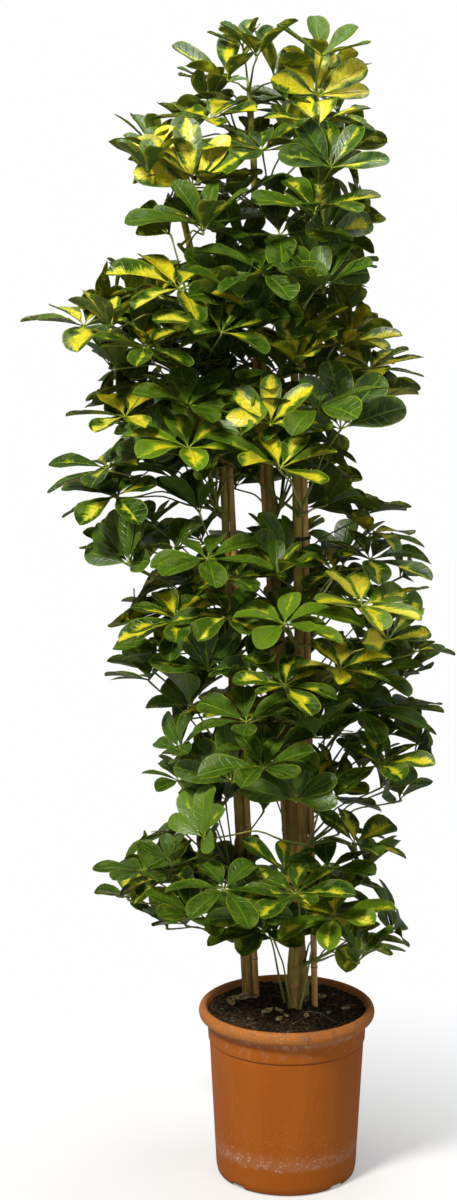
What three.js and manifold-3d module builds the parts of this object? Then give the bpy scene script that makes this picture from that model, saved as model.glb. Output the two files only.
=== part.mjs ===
// A potted umbrella plant: a variegated dwarf umbrella tree grown as three leafy stems, each tied to a bamboo
// cane, in a terracotta-coloured nursery pot. Millimetres, +Z up. The origin is the middle of the pot's foot,
// on the floor. The plant is looked at along +Y, with +X to the right. Bearings are in degrees from +X
// towards +Y.
import * as THREE from "three";
import { mergeVertices } from "three/addons/utils/BufferGeometryUtils.js";
import Module from "manifold-3d";

const wasm = await Module();
wasm.setup();
const vector = (x, y, z) => new THREE.Vector3(x, y, z);

// Driving dimensions
const RIM_RADIUS = 133;
const POT_HEIGHT = 265;
const WALL = 3;
const SOIL_LEVEL = 256;
const GAP = 0.3; // left between two pieces that rest on each other
const PLANT_SEED = 11;

// Pot
const FOOT_RADIUS = 106;
const WALL_TOP_RADIUS = 119.5;
const MOUTH_RADIUS = 121;
const FOOT_LIFT = 8; // the floor of the pot above the ground
const PAD_RADIUS = 30; // the flat pad in the middle of the underside
const RIM_DEPTH = 20;
const COLLAR_DEPTH = 34; // from the rim's underside down to the step in the wall
const COLLAR_STEP = 1.6;
const NOTCH_COUNT = 4; // drainage notches through the foot
const NOTCH_START = 45; // degrees, the bearing of the first
const NOTCH_LENGTH = 60; // of the cutter, across the foot
const NOTCH_WIDTH = 26;
const NOTCH_HEIGHT = 4.5;
const POT_SIDES = 32;
const SOIL_RINGS = [0.35, 0.7, 1]; // shares of its radius
const SOIL_UNEVEN = 3;
const SOIL_SEED = 5;

// Canes, stems, side shoots and leaf stalks
const CANE_RADIUS = 4.6;
const CANE_KNUCKLE = 0.7; // how far a cane's knuckles stand out
const KNUCKLE_HALF_WIDTH = 4;
const CANE_JOINT = 210; // from one knuckle to the next
const FIRST_JOINT = 60; // above the soil
const BARE_END = 20; // at a cane's top, without a knuckle
const CANE_DEPTH = 190; // pushed into the soil
const CANE_SIDES = 7;
const STEM_DEPTH = 60; // rooted in the soil
const STEM_STEP = 100; // between two rings of a stem's tube
const STEM_POINT_STEP = 130; // between two points of its course beside the cane
const STEM_PARTS_AT = 40; // below the cane's top, where the stem leaves it
const STEM_SIDES = 6;
const STEM_TIP_RADIUS = 4;
const STEM_THINNING = 0.8; // below 1 it thins early
const SHOOT_RADIUS = 3;
const SHOOT_TAPER = 0.6;
const SHOOT_SIDES = 4;
const SHOOT_SUNK = 0.02; // share of its length that starts inside the stem
const STALK_RADIUS = 1.7;
const TIE_WIDTH = 4;
const TIE_THICKNESS = 1.4;

// Leaves
const LEAFLET_LENGTH = 99; // from the hub to the tip
const LEAFLET_HALF_WIDTH = 21.5;
const LEAFLET_FOLD = 0.12; // how far a leaflet's edges rise, as a share of its half width
const HUB_RISE = 2; // of the upper side, in the middle of a leaf
const NECK_DEPTH = 3; // from a leaf's hub down to the top of its stalk
const STALK_SIDES = 3;
const STALK_BOW = 0.1; // how far a stalk's middle is raised, as a share of its length
const NOTCH_RADIUS = 8; // where two neighbouring leaflets part
const WIDEST_AT = 0.64; // share of a leaflet's length
const TIP_AT = 0.97;
const TIP_WIDTH = 0.5; // share of the leaflet's width
const SLIGHT = 0.1; // what counts as touching
const LEAST_RISE = 0.2; // how straight a stalk runs on into its leaf, as a cosine
const CLEARANCE = 1; // kept between a leaf and everything it doesn't grow from
const TRIES = 300; // at finding a clear stance for a leaf
const FREEDOM = 52; // how far the last try may shift a leaf
const GOLDEN_RATIO = 0.618034;
const HALVINGS = 30; // in the search for a height on a curve

// How leaves stand. Tilt turns a leaf's upper side outwards, for each unit upwards. Leaflets rise from the
// hub by the cup, in degrees, give or take the spread, and fall again towards their tips by the bend, a share
// of their length. Young leaves are still folded up and have fewer leaflets.
const HABITS = {
  front: { tilt: 0.05, cup: 24, spread: 13, bend: 0.22, fewer: 0 },
  back: { tilt: 0.2, cup: 8, spread: 10, bend: 0.18, fewer: 0 },
  young: { tilt: 0.1, cup: 34, spread: 4, bend: 0.05, fewer: 1 },
};
const UPRIGHT = 0.9; // of a leaf's upper side
const FACING = 0.04; // turned to the side that is seen
const FOLLOWING = 0.12; // carrying on the way of its stalk
const WAVERING = 0.16; // at random
const INWARD_SHORTER = 0.22; // of the leaflets that point back at the stem
const INWARD_NARROWER = 0.1;
const INWARD_RISE = 18; // degrees
const UNEVEN_GROWTH = 0.13; // a leaflet's size beside its neighbours'
const UNEVEN_TURN = 0.1; // radians
const UNEVEN_RISE = 9; // degrees
const UNEVEN_SPRAYS = 0.07; // a spray's size beside the others
const BEHIND = 75; // degrees that a front shoot's hidden leaf is turned from its others
const NEAR_STEM = 20; // a hub closer than this to its stem takes its shoot's bearing

// Where each cane enters the soil, how far it leans for each millimetre of height, and how high it reaches
const CANES = {
  left: { foot: [-45, 46], lean: [-0.05, -0.012], top: 1210 },
  middle: { foot: [15, 60], lean: [-0.065, -0.01], top: 1330 },
  right: { foot: [43, 6], lean: [-0.026, 0], top: 1300 },
};

// Each stem stands beside its cane on the stated bearing, and grows on past it through the free points.
// One that leaves its cane towards the foot has the extra distances of its lowest points in "apart".
const STEMS = {
  left: {
    beside: 165,
    radius: 8,
    free: [[-128, 22, 1300], [-140, 16, 1380], [-158, 10, 1460]],
    tie: 365,
  },
  middle: {
    beside: 330,
    radius: 8.5,
    free: [[-50, 44, 1420], [-52, 40, 1520], [-58, 36, 1600]],
    tie: 1180,
  },
  right: {
    beside: 195,
    apart: [14, 18, 3],
    radius: 9.5,
    free: [[2, 3, 1325], [13, 3, 1400], [25, 2, 1490], [33, 0, 1585]],
    tie: 975,
  },
};

// The shoots on the side that is seen: where each leaves its stem, and the hubs of the leaves it carries.
// A hub's fourth number is the size of its leaf, where that isn't 1.
const FRONT_SHOOTS = {
  middle: [
    { z: 1595, hubs: [[-68, 40, 1678, 0.66], [-95, 30, 1632], [-32, 0, 1622]] },
    { z: 1530, hubs: [[-112, 10, 1575], [-160, 0, 1580, 0.8], [0, 70, 1600], [-60, 105, 1590]] },
    { z: 1430, hubs: [[-30, -50, 1505], [20, 90, 1520], [-120, 60, 1500]] },
  ],
  right: [
    { z: 1580, hubs: [[6, 8, 1690, 0.62], [38, -25, 1612], [68, 20, 1615, 0.8]] },
    { z: 1490, hubs: [[78, 15, 1558], [38, -70, 1560], [92, -10, 1516, 0.8], [20, 85, 1580]] },
    { z: 1385, hubs: [[62, -60, 1495], [52, -95, 1412]] },
    { z: 1280, hubs: [[-5, -160, 1300], [-22, -140, 1382], [85, 10, 1365, 0.8]] },
    { z: 1130, hubs: [[122, 0, 1225], [52, -125, 1148]] },
    { z: 1000, hubs: [[35, -130, 1035], [-10, -160, 1112], [80, -10, 1112, 0.8]] },
    { z: 850, hubs: [[118, -20, 945], [100, -135, 900]] },
    { z: 800, hubs: [[-20, -170, 895]] },
    { z: 725, hubs: [[138, -30, 825], [182, 0, 803, 0.9], [70, -140, 810]] },
    { z: 690, hubs: [[-15, -190, 790], [-62, -150, 735]] },
    { z: 590, hubs: [[152, 0, 720], [130, -90, 660]] },
    { z: 500, hubs: [[52, -150, 618], [100, -70, 530]] },
    { z: 370, hubs: [[8, -150, 485], [65, -120, 440]] },
    { z: 310, hubs: [[90, -45, 375], [125, 5, 350, 0.9], [128, -50, 312, 0.8]] },
  ],
  left: [
    { z: 1455, hubs: [[-130, -45, 1482], [-188, 10, 1500, 0.9]] },
    { z: 1370, hubs: [[-182, 5, 1418], [-225, 0, 1443, 0.8], [-105, -75, 1440]] },
    { z: 1270, hubs: [[-155, -85, 1338], [-190, 45, 1325]] },
    { z: 1180, hubs: [[-295, 5, 1282], [-100, -120, 1272]] },
    { z: 1095, hubs: [[-185, -105, 1235], [-235, -40, 1155], [-320, 0, 1145, 0.9]] },
    { z: 1000, hubs: [[-272, 0, 1070], [-120, -140, 1140]] },
    { z: 870, hubs: [[-118, -125, 962], [-175, -25, 945], [-200, 20, 985, 0.85]] },
    { z: 770, hubs: [[-160, -90, 868], [-212, 0, 790], [-65, -130, 905]] },
    { z: 610, hubs: [[-148, -95, 705], [-225, 10, 745, 0.85], [-40, -185, 680]] },
    { z: 440, hubs: [[-155, -35, 545], [-180, 10, 580, 0.8], [-100, -125, 525]] },
    { z: 330, hubs: [[-235, -20, 480, 0.9], [-140, -95, 430], [-150, 5, 365, 0.8]] },
  ],
};

// The shoots on the far side follow a rule: spaced up the stem and turned by the golden ratio within a fan.
const BACK_SHOOTS = {
  middle: { lowest: 350, highest: 1420, spacing: 106, faces: 95, fan: 150 },
  left: { lowest: 420, highest: 1400, spacing: 190, faces: 150, fan: 60 },
  right: { lowest: 420, highest: 1400, spacing: 190, faces: 30, fan: 60 },
};
const HUB_NEAREST = 45; // from the stem, for a leaf that follows the rule
const HUB_FARTHEST = 200;
const HUB_INSIDE = 84; // kept between such a hub and the crown's reach
const LEAST_REACH = 90; // of the crown from any stem
const BACK_LEAVES = 3; // of a shoot on the far side
const SHOOT_LENGTH = 42;
const YOUNG_LENGTH = 22; // of the shoot at a stem's tip
const YOUNG_WOOD = 20; // how far below a stem's tip its last shoot may leave
const SHOOT_RISE = 0.85; // for each unit outwards
const SHOOT_TURNS = [0, 14, -14, 28, -28, 42, -42, 56, -56, 70, -70]; // degrees tried in turn

// How far the foliage reaches at each height: to the left and to the right of the pot's middle, and in depth
const CROWN = [
  { z: 290, left: 130, right: 168, depth: 150 },
  { z: 370, left: 170, right: 180, depth: 170 },
  { z: 410, left: 255, right: 178, depth: 185 },
  { z: 485, left: 300, right: 180, depth: 190 },
  { z: 525, left: 225, right: 165, depth: 200 },
  { z: 600, left: 190, right: 155, depth: 205 },
  { z: 640, left: 225, right: 232, depth: 210 },
  { z: 715, left: 212, right: 236, depth: 215 },
  { z: 755, left: 270, right: 238, depth: 220 },
  { z: 795, left: 268, right: 245, depth: 220 },
  { z: 840, left: 243, right: 225, depth: 210 },
  { z: 980, left: 246, right: 195, depth: 195 },
  { z: 1010, left: 378, right: 132, depth: 190 },
  { z: 1050, left: 382, right: 140, depth: 205 },
  { z: 1090, left: 362, right: 112, depth: 210 },
  { z: 1160, left: 350, right: 105, depth: 215 },
  { z: 1190, left: 305, right: 212, depth: 215 },
  { z: 1235, left: 300, right: 190, depth: 210 },
  { z: 1265, left: 416, right: 165, depth: 205 },
  { z: 1305, left: 405, right: 122, depth: 195 },
  { z: 1340, left: 315, right: 115, depth: 190 },
  { z: 1375, left: 248, right: 125, depth: 185 },
  { z: 1410, left: 215, right: 110, depth: 180 },
  { z: 1445, left: 255, right: 105, depth: 175 },
  { z: 1480, left: 250, right: 135, depth: 170 },
  { z: 1550, left: 256, right: 132, depth: 155 },
  { z: 1585, left: 206, right: 118, depth: 145 },
  { z: 1650, left: 170, right: 122, depth: 120 },
  { z: 1690, left: 165, right: 106, depth: 105 },
  { z: 1722, left: 104, right: 50, depth: 90 },
  { z: 1742, left: 30, right: 40, depth: 80 },
];
const OUTLINE_SLACK = 5;

// Where the plant is looked at from. Seen from there, the stems show bare through openings in the crown.
const EYE = vector(-88, -3200, 1450);
const OPENINGS = [
  { low: 985, high: 1085, left: -92, right: 28 },
  { low: 500, high: 600, left: -92, right: 28 },
];

// A leaf's size at each height: largest in the middle of the crown, smaller in the shade below and on young
// wood
const VIGOUR = [
  { z: 650, size: 0.86 },
  { z: 1050, size: 1.03 },
  { z: 1400, size: 1.03 },
  { z: 1560, size: 0.9 },
];

// Colours as seen in daylight
const LOOKS = {
  terracotta: { color: 0xb5642f, roughness: 0.62 },
  soil: { color: 0x2a1c13, roughness: 1 },
  bamboo: { color: 0xa9793c, roughness: 0.55 },
  bark: { color: 0x7d6f42, roughness: 0.8 },
  leaf: { color: 0x3f6b1f, roughness: 0.4 },
  tie: { color: 0x2b2420, roughness: 0.7 },
};

const radians = THREE.MathUtils.degToRad;
const heading = (bearing) => vector(Math.cos(radians(bearing)), Math.sin(radians(bearing)), 0);
const mix = THREE.MathUtils.lerp;

// A value from a table of heights, read between its rows.
function atHeight(rows, z, key) {
  const above = rows.findIndex((row) => row.z >= z);
  if (above < 1) return rows.at(above)[key];
  const [low, high] = [rows[above - 1], rows[above]];
  return mix(low[key], high[key], (z - low.z) / (high.z - low.z));
}

// A repeatable stream of numbers from 0 to 1.
function randomStream(seed) {
  let state = seed | 0;
  return () => {
    state = (state + 0x6d2b79f5) | 0;
    let mixed = Math.imul(state ^ (state >>> 15), 1 | state);
    mixed = (mixed + Math.imul(mixed ^ (mixed >>> 7), 61 | mixed)) ^ mixed;
    return ((mixed ^ (mixed >>> 14)) >>> 0) / 4294967296;
  };
}

// A random number from -1 to 1.
const either = (random) => mix(-1, 1, random());

// A closed geometry as a solid that can be cut and joined.
function solidOf(geometry) {
  const bare = geometry.clone();
  bare.deleteAttribute("normal");
  bare.deleteAttribute("uv");
  const merged = mergeVertices(bare, 1e-3);
  return new wasm.Manifold(
    new wasm.Mesh({
      numProp: 3,
      vertProperties: merged.attributes.position.array,
      triVerts: new Uint32Array(merged.index.array),
    }),
  );
}

// A solid's surface as a three.js geometry.
function geometryOf(solid) {
  const surface = solid.getMesh();
  const geometry = new THREE.BufferGeometry();
  geometry.setAttribute("position", new THREE.BufferAttribute(surface.vertProperties, 3));
  geometry.setIndex(new THREE.BufferAttribute(surface.triVerts, 1));
  geometry.computeVertexNormals();
  return geometry;
}

// A closed indexed geometry from points and triangles.
function indexedGeometry(points, triangles) {
  const geometry = new THREE.BufferGeometry().setFromPoints(points);
  geometry.setIndex(triangles.flat());
  return geometry;
}

const joined = (solids) => wasm.Manifold.union(solids);

// Rings of points round a path, each turned as little as possible from the one before.
function ringsAlong(centres, radii, sides, firstSide) {
  let side = firstSide.clone();
  return centres.map((centre, i) => {
    const before = centres[Math.max(i - 1, 0)];
    const after = centres[Math.min(i + 1, centres.length - 1)];
    const along = after.clone().sub(before).normalize();
    side = side.clone().addScaledVector(along, -side.dot(along)).normalize();
    const across = along.clone().cross(side);
    return Array.from({ length: sides }, (_, k) => {
      const turn = (2 * Math.PI * k) / sides;
      return centre
        .clone()
        .addScaledVector(side, radii[i] * Math.cos(turn))
        .addScaledVector(across, radii[i] * Math.sin(turn));
    });
  });
}

// The triangles of a tube's wall between rings of point numbers.
function wallBetween(rings) {
  const triangles = [];
  for (let i = 1; i < rings.length; i++) {
    const [low, high] = [rings[i - 1], rings[i]];
    for (let k = 0; k < low.length; k++) {
      const next = (k + 1) % low.length;
      triangles.push([low[k], low[next], high[next]], [low[k], high[next], high[k]]);
    }
  }
  return triangles;
}

// A flat fan over a ring of point numbers.
const fanOver = (ring) => ring.slice(2).map((last, k) => [ring[0], ring[k + 1], last]);

// A tapered tube through a path, closed by flat ends.
function tubeGeometry(centres, radii, sides) {
  const rings = ringsAlong(centres, radii, sides, vector(1, 0.2, 0));
  const numbers = rings.map((ring, i) => ring.map((_, k) => i * sides + k));
  const ends = [...fanOver([...numbers[0]].reverse()), ...fanOver(numbers[numbers.length - 1])];
  return indexedGeometry(rings.flat(), [...wallBetween(numbers), ...ends]);
}

// Pot, soil and canes

// The pot's wall: the outer radius at a height.
const wallRadius = (z) => mix(FOOT_RADIUS, WALL_TOP_RADIUS, z / POT_HEIGHT);

// The inside of the pot's wall at a height.
const cavityRadius = (z) => wallRadius(z) - WALL;

function potGeometry() {
  const rimUnder = POT_HEIGHT - RIM_DEPTH;
  const step = rimUnder - COLLAR_DEPTH;
  const profile = [
    [0, 0],
    [PAD_RADIUS, 0],
    [PAD_RADIUS + 4, FOOT_LIFT - WALL],
    [FOOT_RADIUS - 22, FOOT_LIFT - WALL],
    [FOOT_RADIUS - 18, 0],
    [FOOT_RADIUS - 6, 0],
    [FOOT_RADIUS - 1.5, 3],
    [wallRadius(12), 12],
    [wallRadius(step), step],
    [wallRadius(step) + COLLAR_STEP, step + 2],
    [wallRadius(rimUnder) + COLLAR_STEP, rimUnder],
    [RIM_RADIUS - 4, rimUnder],
    [RIM_RADIUS - 0.5, rimUnder + 4],
    [RIM_RADIUS, rimUnder + 11],
    [RIM_RADIUS - 2.5, POT_HEIGHT - 3],
    [RIM_RADIUS - 7, POT_HEIGHT],
    [MOUTH_RADIUS, POT_HEIGHT - 2],
    [cavityRadius(rimUnder), rimUnder],
    [cavityRadius(FOOT_LIFT), FOOT_LIFT],
    [0, FOOT_LIFT],
  ];
  const body = new THREE.LatheGeometry(profile.map(([r, z]) => new THREE.Vector2(r, z)), POT_SIDES);
  body.rotateX(Math.PI / 2);
  const notches = Array.from({ length: NOTCH_COUNT }, (_, i) => {
    const notch = new THREE.BoxGeometry(NOTCH_LENGTH, NOTCH_WIDTH, NOTCH_HEIGHT * 2);
    notch.translate(FOOT_RADIUS, 0, 0);
    notch.rotateZ(radians(NOTCH_START + (360 / NOTCH_COUNT) * i));
    return solidOf(notch);
  });
  return geometryOf(solidOf(body).subtract(joined(notches)));
}

// The soil fills the pot and lies a little uneven, with a plain hole for each cane and stem.
function soilGeometry(plungers) {
  const sides = POT_SIDES;
  const random = randomStream(SOIL_SEED);
  const edge = cavityRadius(SOIL_LEVEL) - GAP;
  const points = [vector(0, 0, SOIL_LEVEL)];
  const numbers = SOIL_RINGS.map((share) =>
    Array.from({ length: sides }, (_, k) => {
      const ground = heading((360 * k) / sides).multiplyScalar(edge * share);
      points.push(ground.setZ(SOIL_LEVEL + (share < 1 ? SOIL_UNEVEN * either(random) : -1)));
      return points.length - 1;
    }),
  );
  const floor = FOOT_LIFT + GAP;
  const bottom = Array.from({ length: sides }, (_, k) => {
    const ground = heading((360 * k) / sides).multiplyScalar(cavityRadius(floor) - GAP);
    points.push(ground.setZ(floor));
    return points.length - 1;
  });
  const crest = numbers[0].map((first, k) => [0, first, numbers[0][(k + 1) % sides]]);
  const outwardIn = [bottom, ...[...numbers].reverse()];
  const triangles = [...crest, ...wallBetween(outwardIn), ...fanOver([...bottom].reverse())];
  return geometryOf(solidOf(indexedGeometry(points, triangles)).subtract(joined(plungers)));
}

// A cane's middle line at a height.
function caneAt(cane, z) {
  const rise = z - SOIL_LEVEL;
  return vector(cane.foot[0] + cane.lean[0] * rise, cane.foot[1] + cane.lean[1] * rise, z);
}

// A bamboo cane: a straight rod with a low knuckle at every joint, lying along its own lean.
function caneGeometry(cane, grown = 0) {
  const low = SOIL_LEVEL - CANE_DEPTH;
  const length = caneAt(cane, low).distanceTo(caneAt(cane, cane.top));
  const profile = [[0, 0], [CANE_RADIUS, 0]];
  const knuckle = (joint) => [
    [CANE_RADIUS, joint - KNUCKLE_HALF_WIDTH],
    [CANE_RADIUS + CANE_KNUCKLE, joint],
    [CANE_RADIUS, joint + KNUCKLE_HALF_WIDTH],
  ];
  for (let joint = CANE_DEPTH + FIRST_JOINT; joint < length - BARE_END; joint += CANE_JOINT) {
    profile.push(...knuckle(joint));
  }
  profile.push([CANE_RADIUS, length], [0, length]);
  const rod = new THREE.LatheGeometry(
    profile.map(([r, z]) => new THREE.Vector2(r ? r + grown : 0, z)),
    CANE_SIDES,
  );
  const along = caneAt(cane, cane.top).sub(caneAt(cane, low)).normalize();
  rod.applyQuaternion(new THREE.Quaternion().setFromUnitVectors(vector(0, 1, 0), along));
  const start = caneAt(cane, low);
  rod.translate(start.x, start.y, start.z);
  return rod;
}

// Stems

// A stem's radius at a height: it thins towards its tip.
function stemRadius(stem, z) {
  const tip = stem.free[stem.free.length - 1][2];
  const grown = Math.max(0, (z - SOIL_LEVEL) / (tip - SOIL_LEVEL));
  return mix(stem.radius, STEM_TIP_RADIUS, grown ** STEM_THINNING);
}

// The middle line of a stem: beside its cane, then on through its free points.
function stemCurve(stem, cane) {
  const points = [];
  for (let z = SOIL_LEVEL - STEM_DEPTH; z < cane.top - STEM_PARTS_AT; z += STEM_POINT_STEP) {
    const touching = CANE_RADIUS + CANE_KNUCKLE + stemRadius(stem, z) + 2 * GAP;
    const apart = touching + (stem.apart?.[points.length] ?? 0);
    points.push(caneAt(cane, z).addScaledVector(heading(stem.beside), apart));
  }
  points.push(...stem.free.map((point) => vector(...point)));
  return new THREE.CatmullRomCurve3(points);
}

// The point and direction of a stem at a height.
function stemAt(curve, z) {
  let [low, high] = [0, 1];
  for (let i = 0; i < HALVINGS; i++) {
    const middle = (low + high) / 2;
    if (curve.getPoint(middle).z < z) low = middle;
    else high = middle;
  }
  return { point: curve.getPoint(low), along: curve.getTangent(low) };
}

function stemGeometry(stem, curve, grown = 0) {
  const centres = curve.getSpacedPoints(Math.round(curve.getLength() / STEM_STEP));
  centres[0].addScaledVector(curve.getTangent(0), -grown);
  centres[centres.length - 1].addScaledVector(curve.getTangent(1), grown);
  return tubeGeometry(centres, centres.map((centre) => stemRadius(stem, centre.z) + grown), STEM_SIDES);
}

// A tie: a flat loop drawn round a cane and its stem.
function tieGeometry(stem, cane, curve, z) {
  const grip = [
    { centre: caneAt(cane, z), radius: CANE_RADIUS + CANE_KNUCKLE + 2 * GAP },
    { centre: stemAt(curve, z).point, radius: stemRadius(stem, z) + 2 * GAP },
  ];
  const loop = (grown) => {
    const away = grip[1].centre.clone().sub(grip[0].centre);
    const facing = Math.atan2(away.y, away.x);
    return grip.flatMap(({ centre, radius }, end) =>
      Array.from({ length: 5 }, (_, k) => {
        const turn = facing + Math.PI * (end ? -0.5 + k / 4 : 0.5 + k / 4);
        const reach = radius / Math.cos(Math.PI / 8) + grown;
        return new THREE.Vector2(centre.x + reach * Math.cos(turn), centre.y + reach * Math.sin(turn));
      }),
    );
  };
  const band = new THREE.Shape(loop(TIE_THICKNESS));
  band.holes.push(new THREE.Path(loop(0)));
  const tie = new THREE.ExtrudeGeometry(band, { depth: TIE_WIDTH, bevelEnabled: false });
  tie.translate(0, 0, z - TIE_WIDTH / 2);
  return tie;
}

// Leaves

// A point of a leaflet's edge: along from 0 at the hub to 1 at the tip, across from -1 to 1 in half widths.
function leafletPoint(leaf, leaflet, along, across) {
  const out = leaf.outward
    .clone()
    .multiplyScalar(Math.cos(leaflet.turn))
    .addScaledVector(leaf.sideways, Math.sin(leaflet.turn));
  const side = leaf.normal.clone().cross(out);
  const fall = leaflet.length * (along * Math.sin(leaflet.droop) + leaf.bend * along ** 2);
  const fold = LEAFLET_FOLD * Math.abs(across) * leaflet.halfWidth;
  return leaf.hub
    .clone()
    .addScaledVector(out, leaflet.length * along * Math.cos(leaflet.droop))
    .addScaledVector(side, across * leaflet.halfWidth)
    .addScaledVector(leaf.normal, fold - fall);
}

// The edge of each leaflet, from the notch before it round its tip to the notch after it.
function leafEdges(leaf) {
  const notches = leaf.leaflets.map((leaflet, i) => {
    const before = leaf.leaflets.at(i - 1);
    const turn = (leaflet.turn + before.turn - (i ? 0 : 2 * Math.PI)) / 2;
    const between = { ...leaflet, turn, droop: (leaflet.droop + before.droop) / 2 };
    return leafletPoint(leaf, between, NOTCH_RADIUS / leaflet.length, 0);
  });
  return leaf.leaflets.map((leaflet, i) => [
    notches[i],
    leafletPoint(leaf, leaflet, WIDEST_AT, -1),
    leafletPoint(leaf, leaflet, TIP_AT, -TIP_WIDTH),
    leafletPoint(leaf, leaflet, TIP_AT, TIP_WIDTH),
    leafletPoint(leaf, leaflet, WIDEST_AT, 1),
    notches[(i + 1) % leaf.leaflets.length],
  ]);
}

// Whether a leaf's leaflets lie clear of each other and of its stalk, each with its upper side over its lower
// one, on a stalk that comes from below without doubling back. Seen from the hub's crown or from the neck, no
// two stretches of the edge may cross.
function isOpen(leaf) {
  const [root, elbow, neck] = leaf.path;
  const crown = leaf.hub.clone().addScaledVector(leaf.normal, HUB_RISE);
  const stretches = leafEdges(leaf).flatMap((edge) => edge.slice(1).map((end, k) => [edge[k], end]));
  const [rise, reach] = [neck.clone().sub(elbow).normalize(), elbow.clone().sub(root).normalize()];
  const ray = new THREE.Ray(neck, rise.clone().negate());
  const isPierced = ([start, end]) => ray.intersectTriangle(crown, start, end, false, vector());
  const isThick = ([start, end]) => {
    const upperSide = new THREE.Plane().setFromCoplanarPoints(crown, start, end);
    return upperSide.distanceToPoint(neck) < -SLIGHT;
  };
  return (
    Math.min(rise.dot(leaf.normal), rise.dot(reach)) > LEAST_RISE &&
    stretches.every(isThick) &&
    !stretches.some(isPierced) &&
    ![crown, neck].some((eye) => hasCrossing(stretches, eye))
  );
}

function hasCrossing(stretches, eye) {
  const arcs = stretches.map((ends) => ends.map((end) => end.clone().sub(eye)));
  return arcs.some(([a, b], i) => {
    const across = a.clone().cross(b);
    return arcs.slice(i + 2).some(([c, d]) => {
      const other = c.clone().cross(d);
      const sides = [-across.dot(c), across.dot(d), other.dot(a), -other.dot(b)];
      return Math.min(...sides) > SLIGHT || Math.max(...sides) < -SLIGHT;
    });
  });
}

// A whole compound leaf in one closed surface: leaflets spread round a hub like an umbrella's ribs. Their
// upper faces meet at the hub's crown, and their lower faces taper in from the edge to the top of a
// three-sided stalk.
function leafGeometry(leaf, grown = 0) {
  const points = [];
  const triangles = [];
  const add = (point) => points.push(point) - 1;
  const leaflets = leaf.leaflets.map((leaflet) => ({
    ...leaflet,
    length: leaflet.length + grown,
    halfWidth: leaflet.halfWidth + grown,
  }));
  const crown = add(leaf.hub.clone().addScaledVector(leaf.normal, HUB_RISE));
  const stalkRadii = leaf.path.map(() => STALK_RADIUS + grown);
  const stalkRings = ringsAlong(leaf.path, stalkRadii, STALK_SIDES, leaf.outward).reverse();
  const stalk = stalkRings.map((ring) => ring.map(add));
  const footOf = footFinder(leaf, stalkRings[0][0], stalk[0]);
  const edges = leafEdges({ ...leaf, leaflets });
  const notches = edges.map(([notch]) => add(notch));
  leaflets.forEach((leaflet, i) => {
    const next = leaflets[(i + 1) % leaflets.length];
    const edge = [notches[i], ...edges[i].slice(1, -1).map(add), notches[(i + 1) % leaflets.length]];
    const [foot, nextFoot] = [footOf(leaflet.turn), footOf(next.turn)];
    for (let k = 1; k < edge.length; k++) {
      triangles.push([crown, edge[k - 1], edge[k]], [foot, edge[k], edge[k - 1]]);
    }
    if (nextFoot !== foot) triangles.push([foot, nextFoot, edge[edge.length - 1]]);
  });
  triangles.push(...wallBetween(stalk.map((ring) => [...ring].reverse())));
  triangles.push(...fanOver([...stalk[stalk.length - 1]].reverse()));
  return indexedGeometry(points, triangles);
}

// Finds the point of the stalk's top ring that is nearest to a turn round the hub.
function footFinder(leaf, firstPoint, ring) {
  const from = firstPoint.clone().sub(leaf.hub);
  const start = Math.atan2(from.dot(leaf.sideways), from.dot(leaf.outward));
  return (turn) => {
    const step = Math.round(((turn - start) * ring.length) / (2 * Math.PI));
    return ring[((step % ring.length) + ring.length) % ring.length];
  };
}

// How far the crown reaches at a height and bearing from a point inside it.
function crownReach(from, z, bearing) {
  const way = heading(bearing);
  const side = way.x < 0 ? atHeight(CROWN, z, "left") + from.x : atHeight(CROWN, z, "right") - from.x;
  const deep = atHeight(CROWN, z, "depth") + (way.y < 0 ? from.y : -from.y);
  return 1 / Math.hypot(way.x / Math.max(side, LEAST_REACH), way.y / Math.max(deep, LEAST_REACH));
}

// Whether a point, seen from the eye, lies within the crown's outline and outside its openings.
function isInOutline(point) {
  const seen = EYE.clone().lerp(point, EYE.y / (EYE.y - point.y));
  const isOpen = (gap) => seen.z > gap.low && seen.z < gap.high && seen.x > gap.left && seen.x < gap.right;
  return (
    seen.x > -atHeight(CROWN, seen.z, "left") - OUTLINE_SLACK &&
    seen.x < atHeight(CROWN, seen.z, "right") + OUTLINE_SLACK &&
    seen.z < CROWN.at(-1).z &&
    !OPENINGS.some(isOpen)
  );
}

// The hub of a leaf that follows the rule: out on a bearing as far as the crown reaches.
function hubByRule(shoot, place) {
  const bearing = shoot.bearing + place.bearing;
  const z = shoot.root.z + place.rise;
  const reach = crownReach(shoot.root, z, bearing) - HUB_INSIDE;
  const out = Math.max(HUB_NEAREST, Math.min(reach * place.share, HUB_FARTHEST));
  return shoot.root.clone().addScaledVector(heading(bearing), out).setZ(z);
}

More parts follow.
